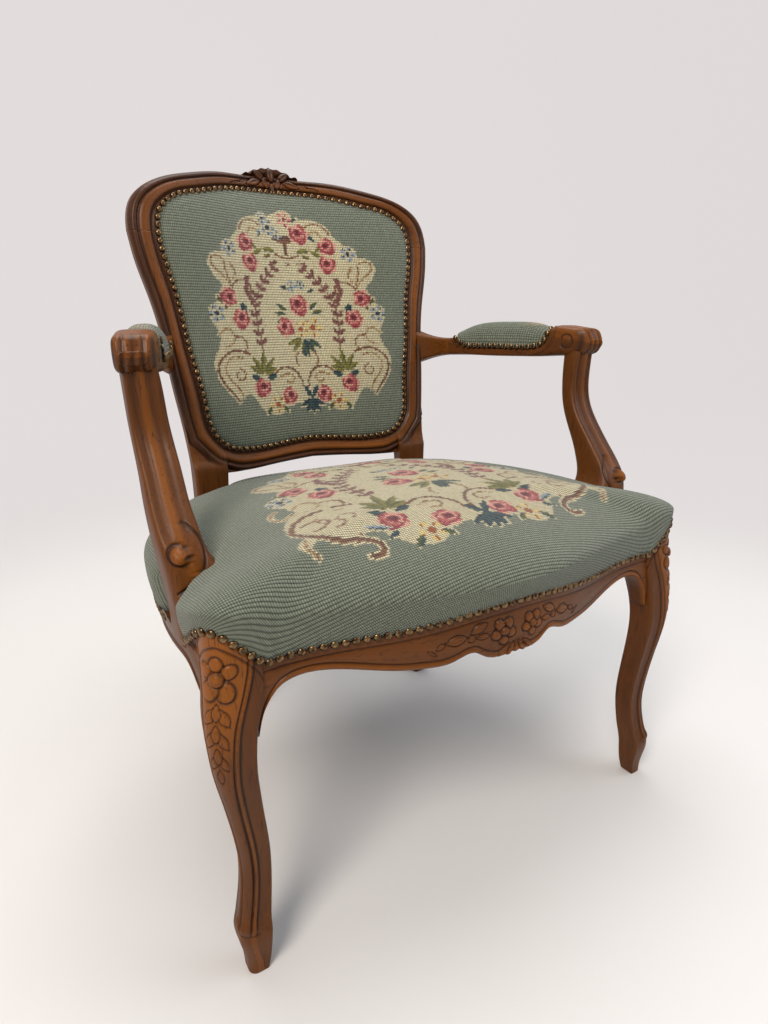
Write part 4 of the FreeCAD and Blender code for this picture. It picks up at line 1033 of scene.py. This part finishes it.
# A square grid wrapped onto a round outline: the ring is the larger of the two grid coordinates and
# the way round is measured along the square's edge, from the middle of its lower side.
def softGrid(rings):
    n = np.arange(-rings, rings + 1) / rings
    a, b = np.meshgrid(n, n, indexing="ij")
    share = np.maximum(np.abs(a), np.abs(b))
    safe = np.maximum(share, 1e-9)
    p, q = a / safe, b / safe
    way = np.where(q <= -1 + 1e-9, p / 8, np.where(p >= 1 - 1e-9, (2 + q) / 8,
                   np.where(q >= 1 - 1e-9, (4 - p) / 8, (6 - q) / 8))) % 1.0
    size = 2 * rings + 1
    edge = np.flatnonzero(share.ravel() > 1 - 1e-9)
    edge = edge[np.argsort(way.ravel()[edge], kind="stable")]
    return share.ravel(), way.ravel(), gridQuads(size, size), edge


# Joins further rings of points, each as long as the edge, to the grid's edge, and closes them on a point
def closeBelow(points, quads, edge, hangs, last):
    count = len(edge)
    allPoints = [points]
    allQuads = [quads]
    above = edge
    total = len(points)
    for ring in hangs:
        here = total + np.arange(count)
        nextUp, nextHere = np.roll(above, -1), np.roll(here, -1)
        allQuads.append(np.stack([above, here, nextHere, nextUp], axis=-1))
        allPoints.append(ring)
        above = here
        total += count
    allPoints.append(np.asarray(last, float)[None])
    tris = np.stack([above, np.full(count, total), np.roll(above, -1)], axis=-1)
    return np.concatenate(allPoints), np.concatenate(allQuads), tris


def closedOutline(half, count):
    half = np.asarray(half, float)
    loop = np.concatenate([half, otherSide(half[1:-1])])
    again = np.concatenate([loop[-6:], loop, loop[:7]])
    stops = np.r_[0, np.cumsum(np.linalg.norm(np.diff(again, axis=0), axis=1))]
    start, end = stops[6], stops[6 + len(loop)]
    return evenLine(splineAt(stops, again, np.linspace(start, end, 4000)), count + 1)[:-1]


def loopNormals(loop):
    run = np.roll(loop, -1, axis=0) - np.roll(loop, 1, axis=0)
    normal = np.stack([run[:, 1], -run[:, 0]], axis=1)
    return normal / np.linalg.norm(normal, axis=1)[:, None]


seatShape = {"crownY": -158.0, "top": 450.0, "swell": 8.0, "skirt": 2.3, "rings": 180, "nailPitch": 11.0,
             "rim": [(0, -324), (52.9, -319.8), (105.8, -308.8), (158.7, -295.2), (211.6, -284.7), (252, -281.5),
                     (283, -285), (303, -280.5), (313, -268), (315.5, -245), (316, -190), (317, -130), (310, -62),
                     (290, 10), (256.5, 70), (222, 116), (203, 141), (178, 158), (146, 170), (110, 174), (50, 174),
                     (0, 174)]}
seatRim = closedOutline(seatShape["rim"], 8 * seatShape["rings"])
seatNormals = loopNormals(seatRim)
seatCrown = np.array([0.0, seatShape["crownY"]])


# Height of the nail line: along the front by nailHeight, up over each knee by a smooth line on the way
# round its corner, and level along the sides and the rear
kneeWay = [240, 264, 278, 293, 310, 326, 348, 373, 398, 430]
kneeZ = [346, 347, 361, 375, 384.5, 385, 375, 358, 347, 346]


def seatNailHeight(x, y):
    x = np.abs(x)
    z = np.where((y < -262) & (x < 264), nailHeight(np.minimum(x, 264.5)), 347)
    knee = splineAt(kneeWay, kneeZ, x + y + 283)
    return np.where((x > 258) & (y < -180), np.maximum(knee, 347), z)


# A point of the seat: its share of the way from the crown out to the rim in plan, and in height a dome
# of one minus the share's square to the power 0.63, with the last stretch dropped to the nail line
def seatPoints(share, way, out, drop):
    s = seatShape
    count = len(seatRim)
    place = way * count
    k = np.floor(place).astype(int) % count
    t = (place - np.floor(place))[:, None]
    after = (k + 1) % count
    rim = seatRim[k] * (1 - t) + seatRim[after] * t
    side = seatNormals[k] * (1 - t) + seatNormals[after] * t
    x, y = rim[:, 0], rim[:, 1]
    # the cloth is drawn in where the arm support stands, and tucked in beside the back stile
    support = np.exp(-(np.clip(np.abs(y + 170) - 26, 0, None) / 12) ** 2) * (np.abs(x) > 290)
    behind = smoothStep(112, 142, y) * (np.abs(x) > 150)
    knee = np.exp(-(np.hypot(np.abs(x) - 306, y + 276) / 42) ** 2)
    out = np.minimum(out, s["skirt"]) + np.maximum(out - s["skirt"], 0) * (1 - 0.75 * knee)
    plan = rim + side * (out * (1 - behind) - 22 * support * share ** 26)[:, None]
    plan = seatCrown + share[:, None] * (plan - seatCrown)
    swellZ = 386 + 16 * knee
    z = swellZ + (s["top"] - swellZ) * np.clip(1 - share ** 2, 0, 1) ** 0.63
    return np.column_stack([plan, z - drop * (swellZ - seatNailHeight(x, y))])


# The crowned grid, the stretch down to the nails, two rings tucked in over the rails and a flat underside
def seatMesh(name, inset, stitched):
    s = seatShape
    share, way, quads, edge = softGrid(s["rings"] if stitched else 40)
    share = 1 - (1 - share) ** 1.3
    points = seatPoints(share, way, s["skirt"] + s["swell"] - inset, 0.0)
    points[:, 2] -= inset
    # arc length out from the crown, so that stitches keep their size on the steep sides
    r = np.linspace(0, 1, 400)
    rise = 0.22 * np.clip(1 - r ** 2, 0, 1) ** 0.63
    arc = np.r_[0, np.cumsum(np.hypot(np.diff(r), np.diff(rise)))]
    stretch = np.interp(share, r, arc) / np.maximum(share, 1e-6)
    uv = [seatCrown + (points[:, :2] - seatCrown) * stretch[:, None]]
    ones, edgeWay, flatEdge = np.ones(len(edge)), way[edge], uv[0][edge]
    plan = points[edge, :2] - seatCrown
    outward = plan / np.linalg.norm(plan, axis=1)[:, None]
    fall = np.linspace(0, 1, 17 if stitched else 6)[1:]
    length = np.cumsum(np.linalg.norm(np.diff(seatRim, axis=0, append=seatRim[:1]), axis=1))
    around = np.interp(edgeWay * len(seatRim), np.arange(len(seatRim)), length)
    hangs = []
    for q in fall:
        out = s["skirt"] - inset + s["swell"] * math.cos(0.5 * math.pi * q) ** 0.8
        pucker = 0.7 * q ** 3 * np.sin(2 * np.pi * around / s["nailPitch"]) if stitched else 0.0
        hangs.append(seatPoints(ones, edgeWay, out + pucker, q))
        uv.append(flatEdge + outward * (q * 40.0))
    for out, lift in ((-1.5, -1.2), (-6.0, 1.0)):
        hangs.append(seatPoints(ones, edgeWay, out, 1.0) + (0, 0, lift))
        uv.append(flatEdge + outward * 42.0)
    for shrink in (0.85, 0.5, 0.2):
        hangs.append(np.column_stack([seatCrown + shrink * plan, 361.0 * ones]))
        uv.append(flatEdge + outward * 44.0)
    allPoints, allQuads, tris = closeBelow(points, quads, edge, hangs, (*seatCrown, 361))
    yarn = None
    if stitched:
        yarn = seatYarn(allPoints)
        yarn[len(points) + 17 * len(edge) + 1:] = wool["sage"]
        # painted shade darkens the cloth just over the nails
        for k, q in enumerate(fall):
            start = len(points) + k * len(edge)
            yarn[start:start + len(edge)] *= 1 - 0.45 * smoothStep(0.72, 1.0, q)
    return buildMesh(name, allPoints, allQuads, tris, None, yarn, np.concatenate(uv + [seatCrown[None]]))


# Big acanthus scrolls at the front corners, in the seat's own plan coordinates. The first row is laid
# as cream ground alone
seatGround = [(stroke, [(150, -168), (182, -180), (186, -210), (165, -232), (145, -222)], 24, "cream"),
              (stroke, [(206, -246), (196, -236)], 8, "cream")]
seatScrolls = [
    (stroke, [(150, -165), (176, -172), (196, -192), (200, -216), (184, -236), (160, -244), (140, -248), (128, -262),
              (134, -272), (144, -270)], 6.0, "brown", "umber"),
    (stroke, [(186, -196), (172, -190), (158, -200), (166, -214), (182, -222)], 4.0, "brown", "tan"),
    (stroke, [(160, -226), (146, -218), (150, -206)], 3.4, "brown"),
    (stroke, [(200, -236), (204, -250), (198, -258)], 3.4, "tan", "brown"),
    (stroke, [(190, -130), (200, -146), (192, -160), (178, -152)], 3.4, "tan", "brown"),
    (leaf, 118, -236, 26, 8, 20, "sky", "teal"), (leaf, 108, -252, 18, 6, -30, "teal", "navy")]


def groundOnly(canvas, *values):
    if canvas["halo"]:
        stroke(canvas, *values)


# The seat's wreath is the back's, laid flat with its foot to the front and drawn wider
def seatYarn(points):
    x, y = points[:, 0], points[:, 1]
    front = newCanvas(x, y, 2.7, 2.7)
    front["yarn"] = wreath(newCanvas(x * 0.80, 524 + (y + 250) * 0.86, 2.2, 2.3))
    motifs = [(groundOnly, *values) for _, *values in seatGround] + seatScrolls
    return stitch(front, ((1.0, motifs), (-1.0, motifs)))


for name, mesh, material, slotName in (("Cover", seatMesh("seatCover", 0.0, True), seatWool, "needlepoint"),
                                       ("Stuffing", seatMesh("seatStuffing", 3.0, False), stuffingHair, "stuffing")):
    addPiece("seat" + name, mesh, material, ["seat_" + name.lower()])
print("seat made")


padShape = {"crown": 15.0, "rings": 150}
backRim = closedOutline(backShape["nailLine"], 8 * padShape["rings"])


# The back's outline drawn out or in by a few millimetres, and its grid of points in X and Z
def backGrid(rings, grow, bulge=1.0):
    share, way, quads, edge = softGrid(rings)
    share = 1 - (1 - share) ** bulge
    middle = np.array([0.0, backShape["middle"]])
    spoke = backRim[np.round(way * len(backRim)).astype(int) % len(backRim)] - middle
    spoke = spoke * (1 + grow / np.linalg.norm(spoke, axis=1))[:, None]
    return share, middle + share[:, None] * spoke, quads, edge


# Points at a depth behind the back's hollowed front face
def behindFace(plan, depth):
    x, z = plan[..., 0], plan[..., 1]
    return np.stack([x, backFront(x, z) + depth, z], axis=-1)


# A pad over the hollow face: it rises by one minus the share's cube to the power 0.55
def backMesh(name, inset, stitched):
    share, plan, quads, edge = backGrid(padShape["rings"] if stitched else 30, -1.0 - inset, 1.25)
    middle = np.array([0.0, backShape["middle"]])
    points = behindFace(plan, inset - padShape["crown"] * np.clip(1 - share ** 3.0, 0, 1) ** 0.55)
    hangs = [points[edge] + (0, sink, 0) for sink in (1.0, 2.5, 4.5)]
    hangs += [behindFace(middle + shrink * (plan[edge] - middle), 4.0) for shrink in (0.92, 0.6, 0.3)]
    allPoints, allQuads, tris = closeBelow(points, quads, edge, hangs, behindFace(middle, 4.0))
    yarn = None
    if stitched:
        yarn = wreath(newCanvas(allPoints[:, 0], allPoints[:, 2], 2.7, 1.9))
        # painted shade: the pad darkens at its edge by the nails, and its sides that sink into the frame are laid in
        # dark sage
        yarn[:len(points)] *= (1 - 0.4 * smoothStep(0.955, 1.0, share))[:, None]
        yarn[len(points):] = 0.5 * wool["sage"]
    return buildMesh(name, allPoints, allQuads, tris, None, yarn, allPoints[:, [0, 2]])


for name, mesh, material, slotName in (("Cover", backMesh("backCover", 0.0, True), backWool, "needlepoint"),
                                       ("Stuffing", backMesh("backStuffing", 2.6, False), stuffingHair, "stuffing")):
    addPiece("back" + name, mesh, material, ["back_" + name.lower()])
print("back upholstery made")


armPad = {"front": -60.0, "back": 108.0, "halfWidth": 22.4, "top": 638.5}


# Across the arm the pad is a flattened dome, and along it the dome falls at both ends
def padRings(shrink, rows, around):
    pad = armPad
    t = -np.cos(np.linspace(0, np.pi, rows))[:, None]
    y = 0.5 * (pad["front"] + pad["back"]) + (0.5 * (pad["back"] - pad["front"]) - shrink) * t
    full = np.clip(1 - np.abs(t) ** 7, 0.0004, 1) ** 0.42
    base = np.interp(y, cradleLine[:, 0], cradleLine[:, 1]) + 3.0
    dome = np.clip(1 - np.abs(t) ** 4.5, 0, 1) ** 0.5
    top = base + (pad["top"] - 8 * np.clip(t, 0, 1) ** 2 - shrink - base) * dome
    turn = np.linspace(0, 2 * np.pi, around, endpoint=False)
    c, s = np.cos(turn), np.sin(turn)
    u = (pad["halfWidth"] - shrink) * full * np.sign(c) * np.abs(c) ** 0.8
    z = base + (top - base) * np.where(s > 0, np.abs(s) ** 0.75, 0.0)
    z = z - 2.5 * np.where(s < 0, np.abs(s) ** 0.3, 0) * full
    length = np.where(s > 0, 1, 0.8) * np.arccos(np.clip(c, -1, 1)) * 24
    return np.stack([armAxis(y) + u, y + 0 * z, z], axis=-1), np.stack([length + 0 * z, y + 0 * z], axis=-1)


# Sage wool, rubbed through to the tan ground in a spot near the front of the pad
def padColour(points, worn):
    x, y, z = (points[..., k] for k in range(3))
    spot = bell(y, -34, 15) * smoothStep(630, 641, z)
    rough = 0.5 + 0.5 * np.sin(x * 1.9 + 2 * np.sin(y * 0.9)) * np.sin(y * 1.3)
    mix = np.clip(worn * spot * (0.65 + 0.5 * rough), 0, 1)[..., None]
    return wool["sage"] * 0.95 * (1 - mix) + linear("#b99a76") * mix


for side, flip, worn in (("Right", 1.0, 1.0), ("Left", -1.0, 0.7)):
    points, uv = padRings(0.0, 150, 72)
    mesh = tubeMesh("armPadCover" + side, points * (flip, 1, 1), None, padColour(points, worn), uv)
    addPiece("armPadCover" + side, mesh, backWool, ["arm_pad_cover_" + side.lower()])
    mesh = tubeMesh("armPadStuffing" + side, padRings(2.4, 40, 32)[0] * (flip, 1, 1))
    addPiece("armPadStuffing" + side, mesh, stuffingHair, ["arm_pad_stuffing_" + side.lower()])
print("arm pads made")


nailShape = {"radius": 4.7, "height": 2.9, "pitch": 10.6, "padPitch": 9.4}


# One dome: three rings of eight points on a squashed half ball, with a point on top and a flat foot
def nailParts(centres, normals):
    normals = normals / np.linalg.norm(normals, axis=1)[:, None]
    side = np.cross(normals, np.array([0.12, 0.31, 0.94]))
    side /= np.linalg.norm(side, axis=1)[:, None]
    lift = np.cross(normals, side)
    ring = np.radians(np.arange(8) * 45.0)
    dome = [(0, 0, nailShape["height"])]
    for tilt in np.radians((32, 62, 90)):
        r, h = nailShape["radius"] * math.sin(tilt), nailShape["height"] * math.cos(tilt)
        dome += [(r * math.cos(t), r * math.sin(t), h) for t in ring]
    u, v, w = (column[None, :, None] for column in np.array(dome + [(0, 0, -0.3)]).T)
    points = centres[:, None] + side[:, None] * u + lift[:, None] * v + normals[:, None] * w
    k = np.arange(8)
    n = (k + 1) % 8
    tris = [np.stack([0 * k, 1 + k, 1 + n], axis=1), np.stack([0 * k + 25, 17 + n, 17 + k], axis=1)]
    quads = [np.stack([1 + 8 * r + k, 9 + 8 * r + k, 9 + 8 * r + n, 1 + 8 * r + n], axis=1) for r in (0, 1)]
    shift = (np.arange(len(centres)) * 26)[:, None, None]
    quads, tris = (np.concatenate(faces)[None] + shift for faces in (quads, tris))
    return points.reshape(-1, 3), quads.reshape(-1, 4), tris.reshape(-1, 3)


def addNails(name, rows):
    mesh = buildMesh(name, *joinParts([nailParts(*row) for row in rows]))
    addPiece(name, mesh, nailBrass)


def spaced(line, pitch):
    length = np.linalg.norm(np.diff(line, axis=0), axis=1).sum()
    return evenLine(line, max(int(round(length / pitch)), 1) + 1)


row = spaced(nailLoop, nailShape["pitch"])[:-1]
slopeX, slopeZ = ((backFront(*(row + step).T) - backFront(*(row - step).T)) / 2 for step in ((1, 0), (0, 1)))
addNails("backNails", [(behindFace(row, -1.0), np.stack([slopeX, -np.ones(len(row)), slopeZ], axis=1))])

# The seat's nails, left out where the arm supports and the stiles stand
rimLine = np.column_stack([seatRim + seatNormals * 2.8, seatNailHeight(seatRim[:, 0], seatRim[:, 1]), seatNormals])
rimLine = np.concatenate([rimLine, rimLine[:1]])
steps = np.r_[0, np.cumsum(np.linalg.norm(np.diff(rimLine[:, :3], axis=0), axis=1))]
where = np.linspace(0, steps[-1], int(steps[-1] / nailShape["pitch"]))[:-1]
rimNails = np.stack([np.interp(where, steps, rimLine[:, k]) for k in range(5)], axis=1)
x, y = np.abs(rimNails[:, 0]), rimNails[:, 1]
rimNails = rimNails[~((y > -206) & (y < -142) & (x > 280)) & ~((y > 118) & (x > 144))]
addNails("seatNails", [(rimNails[:, :3], np.column_stack([rimNails[:, 3:], np.full(len(rimNails), -0.15)]))])

padRows = []
line = spaced(smoothLine(cradleLine[1:-2] + (0, 4.0), 200), nailShape["padPitch"])
for flip in (1.0, -1.0):
    for side in (1.0, -1.0):
        x = armAxis(line[:, 0]) + side * armPad["halfWidth"]
        padRows.append((np.column_stack([flip * x, line]), np.tile([flip * side, 0.0, 0.12], (len(line), 1))))
    for y, z, tilt in ((-58.5, 629, -0.6), (106.5, 611, 0.6)):
        centres = [(flip * (armAxis(y) + across), y, z) for across in (-12, 0, 12)]
        padRows.append((np.array(centres), np.tile([0.0, tilt, 0.8], (3, 1))))
addNails("armPadNails", padRows)
print("nails made")


# A thin sheet: a face, the same face shifted, and a wall round the rim between them
def slabParts(points, quads, rim, shift):
    n = len(points)
    after = np.roll(rim, -1)
    points = np.concatenate([points, points + shift])
    wall = np.stack([rim, after, after + n, rim + n], axis=-1)
    return points, *facingOut(points, np.concatenate([quads, quads[:, ::-1] + n, wall]), noTris)


def sheetParts(grid, shift):
    rows, cols = grid.shape[:2]
    rim = np.concatenate([np.arange(cols), np.arange(1, rows) * cols + cols - 1,
                          (rows - 1) * cols + np.arange(cols - 2, -1, -1), np.arange(rows - 2, 0, -1) * cols])
    return slabParts(grid.reshape(-1, 3), gridQuads(rows, cols), rim, shift)


# The inside plan of the seat frame: half width by the place along Y
def insideHalf(y):
    return np.where(y < -240, 262.0, sideX(np.clip(y, -240, 146)) - 28.0)


# A sheet across the seat frame, with its height as a function of the two shares of the way
def seatSheet(name, height, low, high, shrink, thickness, material, node):
    v, u = np.linspace(low, high, 70)[:, None], np.linspace(-1, 1, 70)[None]
    x = u * (insideHalf(v) - shrink)
    y = np.where(v < -200, np.maximum(v, railFace(x) + 28), v) + 0 * x
    share = (v - low) / (high - low)
    z = height(np.cos(np.pi * u / 2) * np.sin(np.pi * share))
    mesh = buildMesh(name, *sheetParts(np.stack([x, y, z], axis=-1), (0, 0, -thickness)))
    return addPiece(name, mesh, material, [node])


dust = seatSheet("dustCover", lambda swell: 323.8 - 2.0 * swell, -294, 140, 1.0, 0.8, blackCotton, "dust_cover")
hessian = seatSheet("springHessian", lambda swell: 357.5 + 50 * swell ** 0.6, -290, 138, 3.0, 1.2, juteHessian,
                    "spring_hessian")


def addWebbing(name, bands, shift, node):
    mesh = buildMesh(name, *joinParts([sheetParts(band, shift) for band in bands]))
    piece = addPiece(name, mesh, juteWebbing, [node])


# Interlaced webbing: each band rises and falls by a cosine as it passes over and under the others
webbing = {"half": 25.0, "seatZ": 328.6, "wave": 1.0, "backStep": 92.0, "seatX": [-172, -86, 0, 86, 172],
           "seatY": [-214, -136, -58, 20, 98]}
v = np.linspace(0, 1, 60)[:, None]
u = np.linspace(-webbing["half"], webbing["half"], 8)[None]
seatBands = []
for i, x0 in enumerate(webbing["seatX"]):
    frontY = railFace(np.array(x0)) + 30
    y = frontY + (144 - frontY) * v + 0 * u
    z = webbing["seatZ"] + webbing["wave"] * np.cos(np.pi * (y + 214) / 78 + np.pi * i)
    seatBands.append(np.stack([x0 + u + 0 * v, y, z], axis=-1))
for i, y0 in enumerate(webbing["seatY"]):
    x = (2 * v - 1) * (float(insideHalf(np.array(y0 + (20 if y0 > 0 else -10)))) - 4) + 0 * u
    z = webbing["seatZ"] - webbing["wave"] * np.cos(np.pi * (x + 172) / 86 + np.pi * i)
    seatBands.append(np.stack([x, y0 + u + 0 * v, z], axis=-1))
addWebbing("seatWebbing", seatBands, (0, 0, -1.3), "seat_webbing")


# A spring is a wire tube along a helix, its radius least at half height
def coilRings(cx, cy, low, high, wire=1.7):
    t = np.linspace(0, 1, 150)
    turn = 2 * np.pi * 3.5 * t
    radius = 25 + 11 * (2 * t - 1) ** 2
    z = low + wire + (high - low - 2 * wire) * np.clip((t - 0.12) / 0.76, 0, 1)
    line = np.stack([cx + radius * np.cos(turn), cy + radius * np.sin(turn), z], axis=1)
    outward = np.stack([np.cos(turn), np.sin(turn), 0 * t], axis=1)
    phase = np.radians(np.arange(10) * 36.0)[None, :, None]
    return line[:, None] + wire * (outward[:, None] * np.cos(phase) + np.array([0, 0, 1.0]) * np.sin(phase))


coils = [tubeParts(coilRings(cx, cy, 329.5, 354 + 53 * share)) for cx, cy, share in (
    (-129, -175, .8), (129, -175, .8), (0, -97, .955), (-107, -19, .86), (107, -19, .86))]
addPiece("seatSprings", buildMesh("seatSprings", *joinParts(coils)), copperedWire, ["seat_springs"])


# Sheets that follow the hollow of the back: its outline drawn out or in, at a fixed depth
def backSheet(name, depth, grow, thickness, material, node):
    share, plan, quads, edge = backGrid(30, grow)
    mesh = buildMesh(name, *slabParts(behindFace(plan, depth), quads, edge, (0, thickness, 0)))
    piece = addPiece(name, mesh, material, [node])


backSheet("outsideBackCover", 27.8, 12.0, 1.8, greenCotton, "outside_back_cover")
backSheet("backHessian", 4.3, -4.0, 0.5, juteHessian, "back_hessian")
u = np.linspace(-webbing["half"], webbing["half"], 10)[None] + 0 * v
backBands = []
for step, top in ((-1, 820), (0, 826), (1, 820)):
    x, z = webbing["backStep"] * step + u, 462 + (top - 462) * v + 0 * u
    backBands.append(behindFace(np.stack([x, z], axis=-1), 5.0))
    z0 = backShape["middle"] + webbing["backStep"] * step
    half = float(np.interp(z0, [530, 605, 680, 748], [168, 180, 189, 200])) - 3
    backBands.append(behindFace(np.stack([(2 * v - 1) * half + 0 * u, z0 + u], axis=-1), 5.8))
addWebbing("backWebbing", backBands, (0, 0.6, 0), "back_webbing")

blocks = [end + "_corner_block_" + side for end in ("front", "rear") for side in ("right", "left")]
for material, names in ((beechAcross, ["rear_seat_rail"]), (bareBeech("bareBeechBlocks", 0), blocks),
                        (zincSteel, ["corner_block_screws"])):
    for node in names:
        bpy.data.objects[node].data.materials.clear()
        bpy.data.objects[node].data.materials.append(material)
print("inner pieces made")

view = {"x": -0.43804, "y": -0.77720, "z": 0.64140, "yaw": 31.152, "pitch": 16.70, "roll": -0.179, "lens": 22.49}
camera = bpy.data.objects.new("camera", bpy.data.cameras.new("camera"))
bpy.context.scene.collection.objects.link(camera)
camera.data.sensor_width = 36.0
camera.data.lens = view["lens"]
camera.location = (view["x"], view["y"], view["z"])
yaw, pitch, roll = (math.radians(view[k]) for k in ("yaw", "pitch", "roll"))
ahead = Vector((math.sin(yaw) * math.cos(pitch), math.cos(yaw) * math.cos(pitch), -math.sin(pitch)))
right = Vector((math.cos(yaw), -math.sin(yaw), 0.0))
upward = right.cross(ahead)
tiltedRight = right * math.cos(roll) + upward * math.sin(roll)
tiltedUp = upward * math.cos(roll) - right * math.sin(roll)
camera.matrix_world = Matrix.Translation(camera.location) @ Matrix(
    (tiltedRight, tiltedUp, -ahead)).transposed().to_4x4()
bpy.context.scene.camera = camera

# Seamless paper: flat on the floor, a quarter circle up behind and then upright
turn = np.linspace(0, np.pi / 2, 24)
sweep = np.concatenate([[(-6000, 0)], np.stack([2200 + 900 * np.sin(turn), 900 - 900 * np.cos(turn)], axis=1),
                        [(3100, 6000)]])
paper = np.stack([np.column_stack([np.full(len(sweep), x), sweep]) for x in (-7000, 0, 7000)], axis=1)
paperMaterial, tree, shader = newMaterial("matPaper")
place = addNode(tree, "TexCoord").outputs["Object"]
mottle = addNode(tree, "TexNoise", {"Scale": 1.3, "Detail": 3.0}, {"Vector": place})
ramp = addNode(tree, "ValToRGB", links={"Fac": mottle})
colourStops(ramp, (0.0, "#dcd8d5"), (1.0, "#e6e3e0"))
setSockets(tree, shader, {"Roughness": 0.9}, {"Base Color": ramp})
# Far behind the chair the paper shows its own pale colour to the eye, to mirrors and through glass
rays = addNode(tree, "LightPath").outputs
seen = rays["Is Camera Ray"]
for ray in ("Is Glossy Ray", "Is Transmission Ray"):
    seen = addNode(tree, "Math", links={0: seen, 1: rays[ray]}, operation="MAXIMUM")
distance = addNode(tree, "VectorMath", links={0: place}, operation="LENGTH").outputs["Value"]
far = addNode(tree, "MapRange", {"From Min": 0.8, "From Max": 2.0, "To Max": 0.94}, {"Value": distance},
              interpolation_type="SMOOTHSTEP")
share = addNode(tree, "Math", links={0: seen, 1: far}, operation="MULTIPLY")
glow = addNode(tree, "Emission", {"Color": rgba("#e3dedd")})
both = addNode(tree, "MixShader", links={0: share, 1: shader, 2: glow})
setSockets(tree, tree.nodes["Material Output"], links={"Surface": both})
floor = bpy.data.objects.new("floor", buildMesh("floor", paper, gridQuads(len(sweep), 3)))
floor.location.z = -0.0005
floor.data.materials.append(paperMaterial)
bpy.context.scene.collection.objects.link(floor)

world = bpy.data.worlds.new("studio")
bpy.context.scene.world = world
world.use_nodes = True
setSockets(world.node_tree, world.node_tree.nodes["Background"], {"Color": rgba("#e9edf2"), "Strength": 0.42})

for name, place, height, size, power, code in (("windowKey", (-1.9, -1.5, 2.6), 0.45, 1.3, 74, "#fff6ec"),
                                               ("skyFill", (2.4, -1.4, 2.0), 0.4, 2.2, 26, "#eef4ff"),
                                               ("topSoft", (0.2, 0.5, 3.0), 0.4, 2.0, 48, "#ffffff")):
    lamp = bpy.data.objects.new(name, bpy.data.lights.new(name, "AREA"))
    lamp.data.shape = "DISK"
    lamp.data.size, lamp.data.energy, lamp.data.color = size, power, tuple(linear(code))
    lamp.location = place
    lamp.rotation_euler = (Vector((0, 0, height)) - Vector(place)).to_track_quat("-Z", "Y").to_euler()
    bpy.context.scene.collection.objects.link(lamp)
bpy.context.scene.view_settings.view_transform = "Standard"
print("camera and light made")

bpy.context.view_layer.update()
